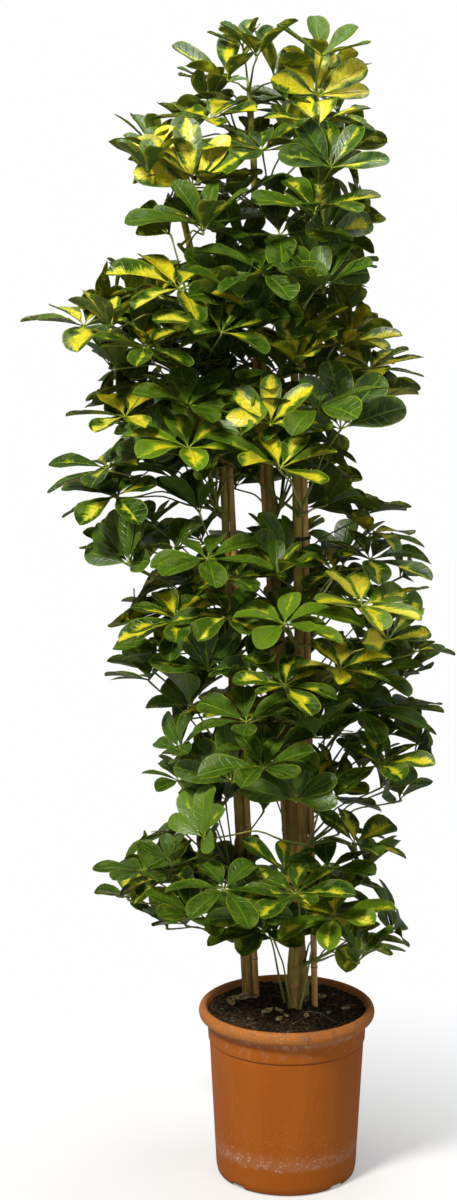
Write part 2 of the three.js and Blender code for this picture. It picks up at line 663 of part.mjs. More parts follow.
// A leaf on a shoot, with its stalk from a share of the shoot's length to its hub. It departs at random from
// its regular stance, and from its aim by the freedom.
function leafOn(shoot, aim, place, freedom, random) {
  const stray = Array.from({ length: 5 }, () => either(random));
  const hub = aim.clone().add(vector(stray[0], stray[1], stray[2]).multiplyScalar(freedom));
  const start = shoot.root.clone().lerp(shoot.tip, place.at);
  const vigour = shoot.vigour * (aim.size ?? 1);
  const cup = shoot.cup + shoot.spread * stray[3];
  const way = hub.clone().sub(shoot.root).setZ(0);
  if (way.length() < NEAR_STEM) way.add(heading(shoot.bearing).multiplyScalar(NEAR_STEM));
  way.normalize();
  const bow = start.clone().lerp(hub, 0.5).add(vector(0, 0, STALK_BOW * start.distanceTo(hub)));
  const normal = hub
    .clone()
    .sub(bow)
    .normalize()
    .multiplyScalar(FOLLOWING)
    .addScaledVector(way, shoot.tilt + WAVERING * stray[3])
    .add(vector(WAVERING * stray[4], WAVERING * stray[3] - FACING, UPRIGHT))
    .normalize();
  const outward = way.clone().addScaledVector(normal, -way.dot(normal)).normalize();
  const neck = hub.clone().addScaledVector(normal, -NECK_DEPTH);
  const count = place.leaflets - shoot.fewer;
  const leaflets = Array.from({ length: count }, (_, i) => {
    const turn = (2 * Math.PI * (i + 0.5 + WAVERING * stray[4])) / count;
    const inward = Math.max(0, -Math.cos(turn));
    const growth = vigour * (1 + UNEVEN_GROWTH * either(random));
    return {
      turn: turn + UNEVEN_TURN * either(random),
      length: LEAFLET_LENGTH * growth * (1 - INWARD_SHORTER * inward),
      halfWidth: LEAFLET_HALF_WIDTH * growth * (1 - INWARD_NARROWER * inward),
      droop: radians(-cup - INWARD_RISE * inward + UNEVEN_RISE * either(random)),
    };
  });
  return {
    hub,
    normal,
    outward,
    sideways: normal.clone().cross(outward),
    bend: shoot.bend,
    path: new THREE.QuadraticBezierCurve3(start, bow, neck).getPoints(2),
    leaflets,
  };
}

// How the leaves of a shoot are set: one leads from its tip, and the others flank it from lower down.
const PLACES = [
  { bearing: 0, rise: 88, share: 1, at: 0.97, leaflets: 7 },
  { bearing: 52, rise: 48, share: 0.86, at: 0.8, leaflets: 6 },
  { bearing: -50, rise: 122, share: 0.8, at: 0.62, leaflets: 6 },
  { bearing: 20, rise: 26, share: 0.62, at: 0.45, leaflets: 6 },
  { bearing: 12, rise: 66, share: 0.45, at: 0.28, leaflets: 5 },
];

// Every solid that a new leaf has to stay clear of.
const obstacles = [];

function keepOut(solid) {
  obstacles.push({ solid, box: solid.boundingBox() });
}

function isClear(solid, from = obstacles) {
  const box = solid.boundingBox();
  const near = from.filter(
    (other) => [0, 1, 2].every((k) => other.box.min[k] < box.max[k] && other.box.max[k] > box.min[k]),
  );
  return near.every((other) => solid.intersect(other.solid).isEmpty());
}

// A shoot turned aside, as little as needed, until it is clear of its cane and of what already stands.
function clearTwig(shoot, bark) {
  for (const aside of SHOOT_TURNS) {
    const way = heading(shoot.bearing + aside).add(vector(0, 0, SHOOT_RISE)).normalize();
    if (shoot.young) way.copy(shoot.along);
    const tip = shoot.root.clone().addScaledVector(way, shoot.young ? YOUNG_LENGTH : SHOOT_LENGTH);
    const base = shoot.root.clone().lerp(tip, -SHOOT_SUNK);
    const radii = [SHOOT_RADIUS + SHOOT_TAPER, SHOOT_RADIUS - SHOOT_TAPER];
    const twig = solidOf(tubeGeometry([base, tip], radii, SHOOT_SIDES));
    if (isClear(twig.subtract(bark))) return { tip, twig };
  }
  return null;
}

// A shoot with its leaves. Each leaf is shifted a little further at every try until it lies within the crown
// and is clear of everything that already stands.
function sprayOn(stem, curve, shoot, random) {
  const bark = solidOf(stemGeometry(stem, curve, GAP));
  const clear = clearTwig(shoot, bark);
  if (!clear) return null;
  const { tip, twig } = clear;
  const leaves = [];
  shoot.aims.forEach((aim, k) => {
    for (let attempt = 0; attempt < TRIES; attempt++) {
      const leaf = leafOn({ ...shoot, tip }, aim, PLACES[k], 1 + (FREEDOM * attempt) / TRIES, random);
      const tips = leaf.leaflets.map((leaflet) => leafletPoint(leaf, leaflet, 1, 0));
      if (!tips.every(isInOutline) || !isOpen(leaf)) continue;
      const roomy = solidOf(leafGeometry(leaf, CLEARANCE));
      const lifts = [0, CLEARANCE, -CLEARANCE].map((lift) => leaf.normal.clone().multiplyScalar(lift));
      if (!lifts.every((lift) => isClear(roomy.translate(lift.toArray())))) continue;
      const solid = solidOf(leafGeometry(leaf));
      if (leaves.every((other) => solid.intersect(other).subtract(twig).isEmpty())) {
        leaves.push(solid);
        break;
      }
    }
  });
  if (!leaves.length) return null;
  const whole = joined([twig, ...leaves]).subtract(bark);
  const spray = whole.decompose().sort((a, b) => b.volume() - a.volume())[0];
  return spray;
}

// A front shoot points at the middle of its leaves.
function frontShoot({ z, hubs }, curve) {
  const { point: root, along } = stemAt(curve, z);
  const seen = hubs.map(([x, y, height, size]) => Object.assign(vector(x, y, height), { size }));
  const middle = seen.reduce((sum, aim) => sum.add(aim), vector(0, 0, 0)).divideScalar(seen.length);
  const way = middle.sub(root);
  const bearing = THREE.MathUtils.radToDeg(Math.atan2(way.y, way.x));
  const aside = z % 20 ? BEHIND : -BEHIND;
  const hidden = [aside, -aside, 0].map((turn, i) =>
    hubByRule({ root, bearing: bearing + turn }, PLACES[i + 2]),
  );
  return {
    root,
    along,
    bearing,
    aims: [...seen, ...hidden].slice(0, PLACES.length),
    young: z > curve.getPoint(1).z - YOUNG_WOOD,
    ...HABITS.front,
  };
}

// A back shoot takes its bearing from its level, and its leaves follow the rule.
function backShoot({ faces, fan }, level, z, curve) {
  const { point: root, along } = stemAt(curve, z);
  const shoot = { root, along, bearing: faces + (((level * GOLDEN_RATIO) % 1) - 0.5) * fan };
  const aims = PLACES.slice(0, BACK_LEAVES).map((place) => hubByRule(shoot, place));
  return { ...shoot, ...HABITS.back, aims };
}

// Build
const plant = new THREE.Group();

function addPiece(name, look, geometry) {
  const mesh = new THREE.Mesh(geometry, new THREE.MeshStandardMaterial({ metalness: 0, ...LOOKS[look] }));
  mesh.name = name;
  plant.add(mesh);
  return mesh;
}

const curves = {};
const plungers = [];
for (const [side, stem] of Object.entries(STEMS)) {
  curves[side] = stemCurve(stem, CANES[side]);
  plungers.push(solidOf(caneGeometry(CANES[side], GAP)), solidOf(stemGeometry(stem, curves[side], GAP)));
}
addPiece("pot", "terracotta", potGeometry());
addPiece("soil", "soil", soilGeometry(plungers));
for (const [side, stem] of Object.entries(STEMS)) {
  addPiece(`cane_${side}`, "bamboo", caneGeometry(CANES[side]));
  addPiece(`stem_${side}`, "bark", stemGeometry(stem, curves[side]));
  addPiece(`tie_${side}`, "tie", tieGeometry(stem, CANES[side], curves[side], stem.tie));
}
for (const mesh of plant.children) keepOut(solidOf(mesh.geometry));

// Each spray has its own random stream, by its height, so that one can change without the others.
function addSpray(name, side, shoot) {
  const random = randomStream(PLANT_SEED + Math.round(shoot.root.z));
  const grown = {
    ...shoot,
    ...(shoot.young ? HABITS.young : {}),
    vigour: atHeight(VIGOUR, shoot.root.z, "size") * (1 + UNEVEN_SPRAYS * either(random)),
  };
  const spray = sprayOn(STEMS[side], curves[side], grown, random);
  if (!spray) return;
  keepOut(spray);
  addPiece(name, "leaf", geometryOf(spray));
}

const fronts = Object.entries(FRONT_SHOOTS).flatMap(([side, shoots]) =>
  shoots.map((shoot, i) => ({ name: `spray_${side}_front_${i + 1}`, side, shoot })),
);
fronts.sort((one, other) => other.shoot.z - one.shoot.z);
for (const { name, side, shoot } of fronts) addSpray(name, side, frontShoot(shoot, curves[side]));
for (const [side, row] of Object.entries(BACK_SHOOTS)) {
  for (let z = row.lowest, level = 1; z <= row.highest; z += row.spacing, level++) {
    addSpray(`spray_${side}_back_${level}`, side, backShoot(row, level, z, curves[side]));
  }
}

export default plant;
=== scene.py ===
"""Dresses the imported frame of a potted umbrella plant: leaves, stalks, stems, canes, ties, soil and pot."""

import logging
import math
from dataclasses import dataclass
from enum import Enum
from typing import Any, Iterable, Sequence

import bmesh
import bpy
import numpy as np
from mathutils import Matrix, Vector, noise


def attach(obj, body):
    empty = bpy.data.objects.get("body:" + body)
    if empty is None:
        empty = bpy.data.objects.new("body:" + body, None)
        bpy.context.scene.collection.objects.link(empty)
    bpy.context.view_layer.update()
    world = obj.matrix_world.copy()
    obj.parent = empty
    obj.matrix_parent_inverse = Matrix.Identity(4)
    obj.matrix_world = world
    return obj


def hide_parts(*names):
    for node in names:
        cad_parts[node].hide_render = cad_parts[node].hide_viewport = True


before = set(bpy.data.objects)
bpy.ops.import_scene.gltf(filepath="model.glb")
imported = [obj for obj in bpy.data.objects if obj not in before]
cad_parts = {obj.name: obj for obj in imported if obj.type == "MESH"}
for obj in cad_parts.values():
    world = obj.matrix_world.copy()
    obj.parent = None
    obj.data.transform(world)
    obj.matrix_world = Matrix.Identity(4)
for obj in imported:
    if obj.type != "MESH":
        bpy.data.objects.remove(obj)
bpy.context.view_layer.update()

log = logging.getLogger("plant")
MM = 0.001
TAU = 2 * math.pi
LEAF_SEED = 7


# Node trees


@dataclass(frozen=True)
class Wire:
    """A number or vector that a node puts out, with the arithmetic that a formula needs."""

    graph: "Graph"
    socket: bpy.types.NodeSocket

    def __add__(self, other: Any) -> "Wire":
        """The sum with a number or another wire."""
        return self.graph.math("ADD", self, other)

    def __radd__(self, other: Any) -> "Wire":
        """The sum with a number on the left."""
        return self.graph.math("ADD", other, self)

    def __sub__(self, other: Any) -> "Wire":
        """The difference from a number or another wire."""
        return self.graph.math("SUBTRACT", self, other)

    def __rsub__(self, other: Any) -> "Wire":
        """The difference of a number on the left."""
        return self.graph.math("SUBTRACT", other, self)

    def __mul__(self, other: Any) -> "Wire":
        """The product with a number or another wire."""
        return self.graph.math("MULTIPLY", self, other)

    def __rmul__(self, other: Any) -> "Wire":
        """The product with a number on the left."""
        return self.graph.math("MULTIPLY", other, self)


class Graph:
    """A shader or geometry node tree under construction."""

    def __init__(self, tree: bpy.types.NodeTree) -> None:
        """Keeps the tree that the nodes go into."""
        self.tree = tree

    def node(self, kind: str, feeds: dict[Any, Any] | None = None, **options: Any) -> bpy.types.Node:
        """Adds a node.

        Args:
            kind: The node's type name.
            feeds: Numbers or wires for its inputs, by input name or index.
            options: The node's own settings.

        Returns:
            The new node.
        """
        node = self.tree.nodes.new(kind)
        for option, setting in options.items():
            setattr(node, option, setting)
        for key, value in (feeds or {}).items():
            self.feed(node.inputs[key], value)
        return node

    def feed(self, socket: bpy.types.NodeSocket, value: Any) -> None:
        """Links a wire or socket to an input, or sets the input's own value.

        Args:
            socket: The input.
            value: A wire, a socket, or a plain value.
        """
        value = value.socket if isinstance(value, Wire) else value
        if isinstance(value, bpy.types.NodeSocket):
            self.tree.links.new(value, socket)
        else:
            socket.default_value = value

    def out(self, node: bpy.types.Node, key: Any = 0) -> Wire:
        """The wire of one of a node's outputs."""
        return Wire(self, node.outputs[key])

    def math(self, operation: str, *values: Any) -> Wire:
        """The result of a Math node on up to three numbers or wires."""
        return self.out(self.node("ShaderNodeMath", dict(enumerate(values)), operation=operation))

    def vector(self, operation: str, *values: Any, scale: Any = None) -> Wire:
        """The result of a Vector Math node.

        Args:
            operation: What the node does.
            values: Its vectors or wires, in order.
            scale: Its Scale, where it has one.

        Returns:
            The wire of its vector, or of its number for a length or a dot product.
        """
        feeds = dict(enumerate(values)) | ({} if scale is None else {"Scale": scale})
        node = self.node("ShaderNodeVectorMath", feeds, operation=operation)
        return self.out(node, "Value" if operation in ("LENGTH", "DOT_PRODUCT") else "Vector")

    def join(self, x: Any = 0.0, y: Any = 0.0, z: Any = 0.0) -> Wire:
        """A vector from three numbers."""
        return self.out(self.node("ShaderNodeCombineXYZ", {"X": x, "Y": y, "Z": z}))

    def split(self, value: Wire) -> tuple[Wire, Wire, Wire]:
        """The three numbers of a vector."""
        node = self.node("ShaderNodeSeparateXYZ", {0: value})
        return self.out(node, 0), self.out(node, 1), self.out(node, 2)

    def ease(self, value: Any, low: Any, high: Any, start: Any = 0.0, end: Any = 1.0) -> Wire:
        """A smooth step of a value from start, at low, to end, at high."""
        feeds = {"Value": value, "From Min": low, "From Max": high, "To Min": start, "To Max": end}
        return self.out(self.node("ShaderNodeMapRange", feeds, interpolation_type="SMOOTHSTEP"))

    def noise(self, place: Wire, scale: Any, detail: float = 3.0, rough: float = 0.55, warp: float = 0.0) -> Wire:
        """A noise between about 0.3 and 0.7 at a place."""
        feeds = {"Vector": place, "Scale": scale, "Detail": detail, "Roughness": rough, "Distortion": warp}
        return self.out(self.node("ShaderNodeTexNoise", feeds), 0)

    def blend(self, share: Any, under: Any, over: Any, how: str = "MIX") -> Wire:
        """A mix of two colours.

        Args:
            share: How much of the second colour shows, from 0 to 1.
            under: The first colour.
            over: The second colour.
            how: The way of mixing.

        Returns:
            The wire of the mixed colour.
        """
        node = self.node("ShaderNodeMix", data_type="RGBA", blend_type=how)
        colours = [s for s in node.inputs if s.type == "RGBA"]
        self.feed(node.inputs[0], share)
        for socket, colour in zip(colours, (under, over)):
            self.feed(socket, colour)
        return Wire(self, [s for s in node.outputs if s.type == "RGBA"][0])

    def attribute(self, name: str, key: str) -> Wire:
        """A named attribute of the surface, in a shader tree."""
        return self.out(self.node("ShaderNodeAttribute", attribute_name=name, attribute_type="GEOMETRY"), key)

    def named(self, name: str, kind: str = "FLOAT") -> Wire:
        """A named attribute, in a geometry tree."""
        node = self.node("GeometryNodeInputNamedAttribute", {"Name": name}, data_type=kind)
        return self.out(node, "Attribute")

    def bars(self, paths: Any, sides: Any) -> bpy.types.Node:
        """Draws smooth round bars along the edges of a mesh, as thick as its points say, in a geometry tree.

        Args:
            paths: The mesh of paths.
            sides: How many sides a bar has.

        Returns:
            The node that puts out the bars.
        """
        curve = self.node("GeometryNodeMeshToCurve", {"Mesh": paths})
        ring = self.node("GeometryNodeCurvePrimitiveCircle", {"Resolution": sides, "Radius": 1.0})
        feeds = {"Curve": curve.outputs[0], "Profile Curve": ring.outputs[0], "Scale": self.named("girth")}
        bar = self.node("GeometryNodeCurveToMesh", feeds | {"Fill Caps": True})
        return self.node("GeometryNodeSetShadeSmooth", {"Geometry": bar.outputs[0], "Shade Smooth": True})

    def realized(self, shape: bpy.types.Node) -> bpy.types.Node:
        """Turns a node's instances into plain geometry, in a geometry tree."""
        return self.node("GeometryNodeRealizeInstances", {0: shape.outputs[0]})

    def dressed(self, shape: bpy.types.Node, finish: Any) -> bpy.types.Node:
        """Gives a node's shape its material, in a geometry tree."""
        return self.node("GeometryNodeSetMaterial", {"Geometry": shape.outputs[0], "Material": finish})


class Kit:
    """Builds each shared node group once."""

    made: dict[str, bpy.types.NodeTree] = {}

    @classmethod
    def start(
        cls, name: str, kind: str, ins: dict[str, tuple[str, Any]], outs: dict[str, str]
    ) -> tuple[Graph, bpy.types.Node, bpy.types.Node]:
        """Begins a node group.

        Args:
            name: The group's name.
            kind: The tree's type.
            ins: The type and default of each input, by name.
            outs: The type of each output, by name.

        Returns:
            The graph, its input node and its output node.
        """
        tree = bpy.data.node_groups.new(name, kind)
        for label, (socket_type, default) in ins.items():
            socket = tree.interface.new_socket(label, in_out="INPUT", socket_type="NodeSocket" + socket_type)
            if default is not None:
                socket.default_value = default
        for label, socket_type in outs.items():
            tree.interface.new_socket(label, in_out="OUTPUT", socket_type="NodeSocket" + socket_type)
        graph = Graph(tree)
        cls.made[name] = tree
        return graph, graph.node("NodeGroupInput"), graph.node("NodeGroupOutput")

    @classmethod
    def use(cls, graph: Graph, name: str, **feeds: Any) -> bpy.types.Node:
        """Places a shared shader group in a material with its own values.

        Args:
            graph: The material's tree.
            name: The group's name.
            feeds: Its inputs, in small letters.

        Returns:
            The group's node.
        """
        if name not in cls.made:
            getattr(cls, name)()
        node = graph.node("ShaderNodeGroup", node_tree=cls.made[name])
        for key, value in feeds.items():
            graph.feed(node.inputs[key.capitalize()], value)
        return node

    @classmethod
    def patches(cls, g: Graph, place: Wire, scale: float, low: float, high: float) -> Wire:
        """The mask of soft patches at a place."""
        return g.out(cls.use(g, "mottle", place=place, scale=scale, low=low, high=high))

    @classmethod
    def streaks(cls) -> None:
        """Fine fibres that run up a stalk, cane or stem: a mask of their colour, and their height."""
        ins = {"Place": ("Vector", None), "Scale": ("Float", 400.0), "Stretch": ("Float", 0.06)}
        g, i, o = cls.start("streaks", "ShaderNodeTree", ins, {"Mask": "Float", "Height": "Float"})
        x, y, z = g.split(Wire(g, i.outputs["Place"]))
        place = g.join(x, y, z * Wire(g, i.outputs["Stretch"]))
        fine = g.noise(place, i.outputs["Scale"], 4.0, 0.6)
        wide = g.noise(place, Wire(g, i.outputs["Scale"]) * 0.3, 2.0)
        g.feed(o.inputs["Mask"], g.ease(fine * 0.6 + wide * 0.4, 0.38, 0.62))
        g.feed(o.inputs["Height"], fine)

    @classmethod
    def mottle(cls) -> None:
        """Soft patches: a mask that goes from 0 to 1 over the noise between Low and High."""
        ins = {"Place": ("Vector", None), "Scale": ("Float", 20.0), "Low": ("Float", 0.4), "High": ("Float", 0.6)}
        g, i, o = cls.start("mottle", "ShaderNodeTree", ins, {"Mask": "Float"})
        patches = g.noise(Wire(g, i.outputs["Place"]), i.outputs["Scale"], 5.0, 0.6, 0.4)
        g.feed(o.inputs["Mask"], g.ease(patches, i.outputs["Low"], i.outputs["High"]))


# Finishes


@dataclass(frozen=True)
class Finish:
    """A finish with its material's name and the settings that are the same all over."""

    name: str
    roughness: float = 0.5
    specular: float = 0.5

    def build(self) -> bpy.types.Material:
        """Makes the material.

        Returns:
            The material, with one Principled shader that paint() has fed.
        """
        material = bpy.data.materials.new(self.name)
        material.use_nodes = True
        graph = Graph(material.node_tree)
        shader = material.node_tree.nodes["Principled BSDF"]
        shader.inputs["Roughness"].default_value = self.roughness
        shader.inputs["Specular IOR Level"].default_value = self.specular
        self.paint(graph, shader, graph.out(graph.node("ShaderNodeTexCoord"), "Object"))
        return material

    def paint(self, g: Graph, shader: bpy.types.Node, place: Wire) -> None:
        """Feeds the shader; each finish has its own."""
        raise NotImplementedError

    def emboss(self, g: Graph, shader: bpy.types.Node, height: Wire, depth: float) -> None:
        """Feeds the shader's normal from a height and the depth, in metres, that a height of 1 stands for."""
        bump = g.node("ShaderNodeBump", {"Height": height, "Distance": depth})
        g.feed(shader.inputs["Normal"], g.out(bump))


@dataclass(frozen=True)
class LeafFinish(Finish):
    """A glossy leaf with gold splashes along its midrib, side veins, a pale edge and a dull pale underside."""

    deep: tuple[float, ...] = (0.012, 0.036, 0.003, 1)
    green: tuple[float, ...] = (0.047, 0.096, 0.0065, 1)
    # Light green for fresh leaves, veins and midrib; on leaves near a splash it is partly painted light
    fresh: tuple[float, ...] = (0.15, 0.27, 0.010, 1)
    lime: tuple[float, ...] = (0.25, 0.33, 0.012, 1)
    gold: tuple[float, ...] = (0.70, 0.56, 0.014, 1)
    cream: tuple[float, ...] = (0.80, 0.75, 0.12, 1)
    olive: tuple[float, ...] = (0.075, 0.120, 0.010, 1)
    veins: float = 8.0
    translucence: float = 0.15
    light_path: tuple[float, float, float] = (1.0, 0.9, 0.12)
    light_depth: float = 1.6 * MM
    relief: float = 0.6 * MM

    def paint(self, g: Graph, shader: bpy.types.Node, place: Wire) -> None:
        """Paints by the leaflet's seed, gold and fresh green, which is partly painted light, and by the UV map:
        along; across, plus 2 underneath.

        Args:
            g: The tree.
            shader: Its shader.
            place: The place on the piece, which leaflets don't need.
        """
        shader.inputs["Subsurface Weight"].default_value = self.translucence
        shader.inputs["Subsurface Radius"].default_value = self.light_path
        shader.inputs["Subsurface Scale"].default_value = self.light_depth
        along, across, _ = g.split(g.out(g.node("ShaderNodeUVMap", uv_map="blade")))
        under = g.math("GREATER_THAN", across, 1.5)
        side = (across - under * 2.0) * 2.0 - 1.0
        out = g.math("ABSOLUTE", side)
        half = g.math("SIGN", side)
        seed_x, seed_y, seed_z = g.split(g.attribute("seed", "Vector"))
        gold, fresh = g.attribute("gold", "Fac"), g.attribute("fresh", "Fac")
        origin = along - out * 0.13
        drift = g.join(along * 2.2, side * 0.9, seed_x * 37.0)
        tone = g.noise(drift, 1.6, 2.0)
        splash = g.noise(g.join(origin, half * 4.0, seed_y * 61.0), 2.3, 1.0)
        jag = g.noise(g.join(origin * 5.0, half * 9.0 + out * 0.35, seed_z * 43.0), 4.2, 4.0, 0.75)
        vein_turn = origin * self.veins + half * 0.21 + seed_x
        ridge = g.math("PINGPONG", vein_turn, 0.5)
        vein = g.ease(ridge, 0.40, 0.5) * g.ease(out, 1.0, 0.75) * g.ease(along, 0.14, 0.22)
        rib = g.ease(out, 0.09, 0.02)
        reach = gold * 1.45 + (splash - 0.5) * 2.6 * g.ease(gold, 0.05, 0.35) + (jag - 0.5) * 1.3 - 0.62
        reach = reach - g.ease(along, 0.82, 1.0) * 0.35
        wide = g.ease(reach + 0.18 - out, 0.0, 0.05)
        narrow = g.ease(reach - out, 0.0, 0.05)
        edge = g.ease(out, 0.90, 0.975) * g.ease(along, 0.2, 0.35)
        stem = g.ease(along, 0.17, 0.10)
        leaf = g.blend(g.ease(tone + seed_z * 0.12, 0.35, 0.68), self.deep, self.green)
        # Light green by the fresh share: the leaf's fresh colour, and partly painted light on leaves near a splash
        leaf = g.blend(fresh, leaf, self.fresh)
        leaf = g.blend(vein * 0.24 + rib * 0.6, leaf, self.fresh)
        leaf = g.blend(wide * 0.75, leaf, self.lime)
        streak = g.ease(jag, 0.42, 0.60)
        gilt = g.blend(g.ease(seed_y, 0.55, 1.0) * 0.6, self.gold, self.cream)
        leaf = g.blend(narrow, leaf, g.blend(streak * 0.55, gilt, self.lime))
        leaf = g.blend(edge * 0.6, leaf, self.lime)
        leaf = g.blend(stem * 0.7, leaf, self.lime)
        leaf = g.blend(under * 0.45, leaf, self.olive)
        g.feed(shader.inputs["Base Color"], leaf)
        g.feed(shader.inputs["Roughness"], under * 0.25 + self.roughness + (tone - 0.5) * 0.2)
        grain = g.noise(g.join(along * 100.0, side * 20.0, seed_x * 9.0), 1.5, 2.0)
        self.emboss(g, shader, (vein + rib * 1.5) * -0.7 + grain * 0.35 + tone * 0.8, self.relief)


@dataclass(frozen=True)
class StalkFinish(Finish):
    """Leaf stalks and short shoots: green with a yellowish cast and brown freckles."""

    green: tuple[float, ...] = (0.15, 0.20, 0.030, 1)
    pale: tuple[float, ...] = (0.40, 0.40, 0.09, 1)
    brown: tuple[float, ...] = (0.10, 0.055, 0.02, 1)
    relief: float = 0.3 * MM

    def paint(self, g: Graph, shader: bpy.types.Node, place: Wire) -> None:
        """Paints long patches and freckles by place, and pales with the spray's gold.

        Args:
            g: The tree.
            shader: Its shader.
            place: Where on the piece.
        """
        patches = Kit.patches(g, place, 18.0, 0.4, 0.62)
        freckles = Kit.patches(g, place, 420.0, 0.62, 0.7)
        colour = g.blend(g.math("ADD", patches * 0.35, g.attribute("gold", "Fac") * 0.8), self.green, self.pale)
        g.feed(shader.inputs["Base Color"], g.blend(freckles * 0.45, colour, self.brown))
        self.emboss(g, shader, patches + freckles * 0.3, self.relief)


@dataclass(frozen=True)
class BarkFinish(Finish):
    """A stem's bark: grey-brown and ringed with scars when old, smooth and yellow-green when young."""

    old: tuple[float, ...] = (0.50, 0.31, 0.085, 1)
    shade: tuple[float, ...] = (0.20, 0.115, 0.032, 1)
    young: tuple[float, ...] = (0.36, 0.35, 0.045, 1)
    dry: tuple[float, ...] = (0.52, 0.43, 0.055, 1)
    scar: tuple[float, ...] = (0.07, 0.045, 0.02, 1)
    relief: float = 0.9 * MM

    def paint(self, g: Graph, shader: bpy.types.Node, place: Wire) -> None:
        """Paints by the stem's youth and scars, which its mesh carries, and by streaks in place.

        Args:
            g: The tree.
            shader: Its shader.
            place: Where on the piece.
        """
        streaks = Kit.use(g, "streaks", place=place, scale=420.0, stretch=0.12)
        patches = Kit.patches(g, place, 26.0, 0.38, 0.62)
        pores = Kit.patches(g, place, 520.0, 0.6, 0.68)
        youth, scar = g.attribute("youth", "Fac"), g.attribute("scar", "Fac")
        bark = g.blend(g.out(streaks, "Mask") * 0.8, self.old, self.shade)
        bark = g.blend(patches * 0.3, bark, self.young)
        bark = g.blend(youth, bark, g.blend(patches * 0.5, self.young, self.dry))
        bark = g.blend(g.math("MAXIMUM", scar * 0.38, pores * 0.3), bark, self.scar)
        g.feed(shader.inputs["Base Color"], bark)
        g.feed(shader.inputs["Roughness"], self.roughness - youth * 0.25)
        self.emboss(g, shader, g.out(streaks, "Height") + scar * 0.8 + pores * 0.4, self.relief)


@dataclass(frozen=True)
class BambooFinish(Finish):
    """A bamboo stake: waxy tan skin with fine fibres, dark rings at its knuckles and weather stains."""

    skin: tuple[float, ...] = (0.74, 0.44, 0.15, 1)
    fibre: tuple[float, ...] = (0.46, 0.24, 0.070, 1)
    stain: tuple[float, ...] = (0.075, 0.035, 0.016, 1)
    pale: tuple[float, ...] = (0.80, 0.58, 0.28, 1)
    relief: float = 0.4 * MM

    def paint(self, g: Graph, shader: bpy.types.Node, place: Wire) -> None:
        """Paints fibres and stains by place, and the rings by the knuckles that the mesh carries.

        Args:
            g: The tree.
            shader: Its shader.
            place: Where on the piece.
        """
        streaks = Kit.use(g, "streaks", place=place, scale=700.0, stretch=0.03)
        stains = Kit.patches(g, place, 30.0, 0.5, 0.72)
        knuckle = g.attribute("scar", "Fac")
        wood = g.blend(g.out(streaks, "Mask") * 0.75, self.skin, self.fibre)
        wood = g.blend(stains * 0.45, wood, self.stain)
        wood = g.blend(g.ease(knuckle, 0.05, 0.5) * 0.5, wood, self.pale)
        wood = g.blend(g.ease(knuckle, 0.55, 1.0) * 0.85, wood, self.stain)
        g.feed(shader.inputs["Base Color"], wood)
        g.feed(shader.inputs["Roughness"], stains * 0.2 + self.roughness)
        self.emboss(g, shader, g.out(streaks, "Height"), self.relief)


@dataclass(frozen=True)
class PotFinish(Finish):
    """Terracotta-coloured plastic: dusty rim, lime in a ragged band low on the wall, water stains, and darker in
    the groove under the collar and towards the foot.
    """

    plastic: tuple[float, ...] = (0.36, 0.089, 0.0065, 1)
    warm: tuple[float, ...] = (0.46, 0.130, 0.011, 1)
    rim: tuple[float, ...] = (0.46, 0.165, 0.036, 1)
    lime: tuple[float, ...] = (0.66, 0.50, 0.38, 1)
    # Grime in runs and specks, and the darkening in the groove under the collar and towards the foot
    grime_and_darkening: tuple[float, ...] = (0.12, 0.045, 0.016, 1)
    band: float = 0.045
    rim_from: float = 0.244
    collar: tuple[float, float] = (0.213, 0.240)
    foot: float = 0.012
    relief: float = 0.4 * MM

    def paint(self, g: Graph, shader: bpy.types.Node, place: Wire) -> None:
        """Paints by height and by place round the pot.

        Args:
            g: The tree.
            shader: Its shader.
            place: Where on the piece.
        """
        x, y, z = g.split(place)
        tall = g.join(x, y, z * 0.35)
        cloud = Kit.patches(g, tall, 14.0, 0.35, 0.68)
        speck = Kit.patches(g, place, 330.0, 0.57, 0.68)
        fleck = Kit.patches(g, place, 95.0, 0.50, 0.66)
        wander = (g.noise(g.join(x, y, z * 0.3), 20.0, 5.0, 0.75) - 0.5) * 0.016
        runs = g.out(Kit.use(g, "streaks", place=place, scale=260.0, stretch=0.10), "Mask")
        height = z + wander
        ring = g.ease(height, self.band - 0.008, self.band) * g.ease(height, self.band + 0.026, self.band + 0.002)
        on_rim = g.ease(z, self.rim_from, self.rim_from + 0.003)
        under_rim = g.ease(z, self.rim_from - 0.012, self.rim_from + 0.0005)
        under_rim = under_rim * g.ease(z, self.rim_from + 0.0035, self.rim_from + 0.0015)
        low, high = self.collar
        collar = g.ease(z, low, low + 0.007) * g.ease(z, high, high - 0.012)
        groove = g.ease(z, low + 0.0005, low - 0.0015) * g.ease(z, low - 0.0035, low - 0.002)
        foot = g.ease(z, self.foot, 0.0)
        plastic = g.blend(cloud * 0.55, self.plastic, self.warm)
        plastic = g.blend(on_rim * 0.75, plastic, self.rim)
        plastic = g.blend(runs * cloud * 0.16, plastic, self.grime_and_darkening)
        plastic = g.blend(on_rim * (fleck * runs * 0.5 + fleck * 0.18), plastic, self.grime_and_darkening)
        dust = ring * (speck * (fleck * 0.5 + 0.6) + fleck * 0.2 + 0.08) + under_rim * (fleck * 0.5 + 0.2)
        dust = dust + collar * fleck * runs * 0.2 + on_rim * (speck * 0.3 + fleck * 0.06) + speck * 0.035
        dust = dust + g.ease(height, 0.02, 0.07) * g.ease(height, 0.16, 0.05) * speck * 0.16
        plastic = g.blend(g.math("MINIMUM", dust, 0.8), plastic, self.lime)
        # Darker in the groove under the collar and towards the foot
        plastic = g.blend(foot * 0.4 + groove * 0.5, plastic, self.grime_and_darkening)
        g.feed(shader.inputs["Base Color"], plastic)
        g.feed(shader.inputs["Roughness"], g.math("MINIMUM", dust * 0.5 + cloud * 0.06 + self.roughness, 0.95))
        self.emboss(g, shader, g.noise(place, 900.0, 2.0) * 0.4 + dust * 0.8 + cloud * 0.5, self.relief)


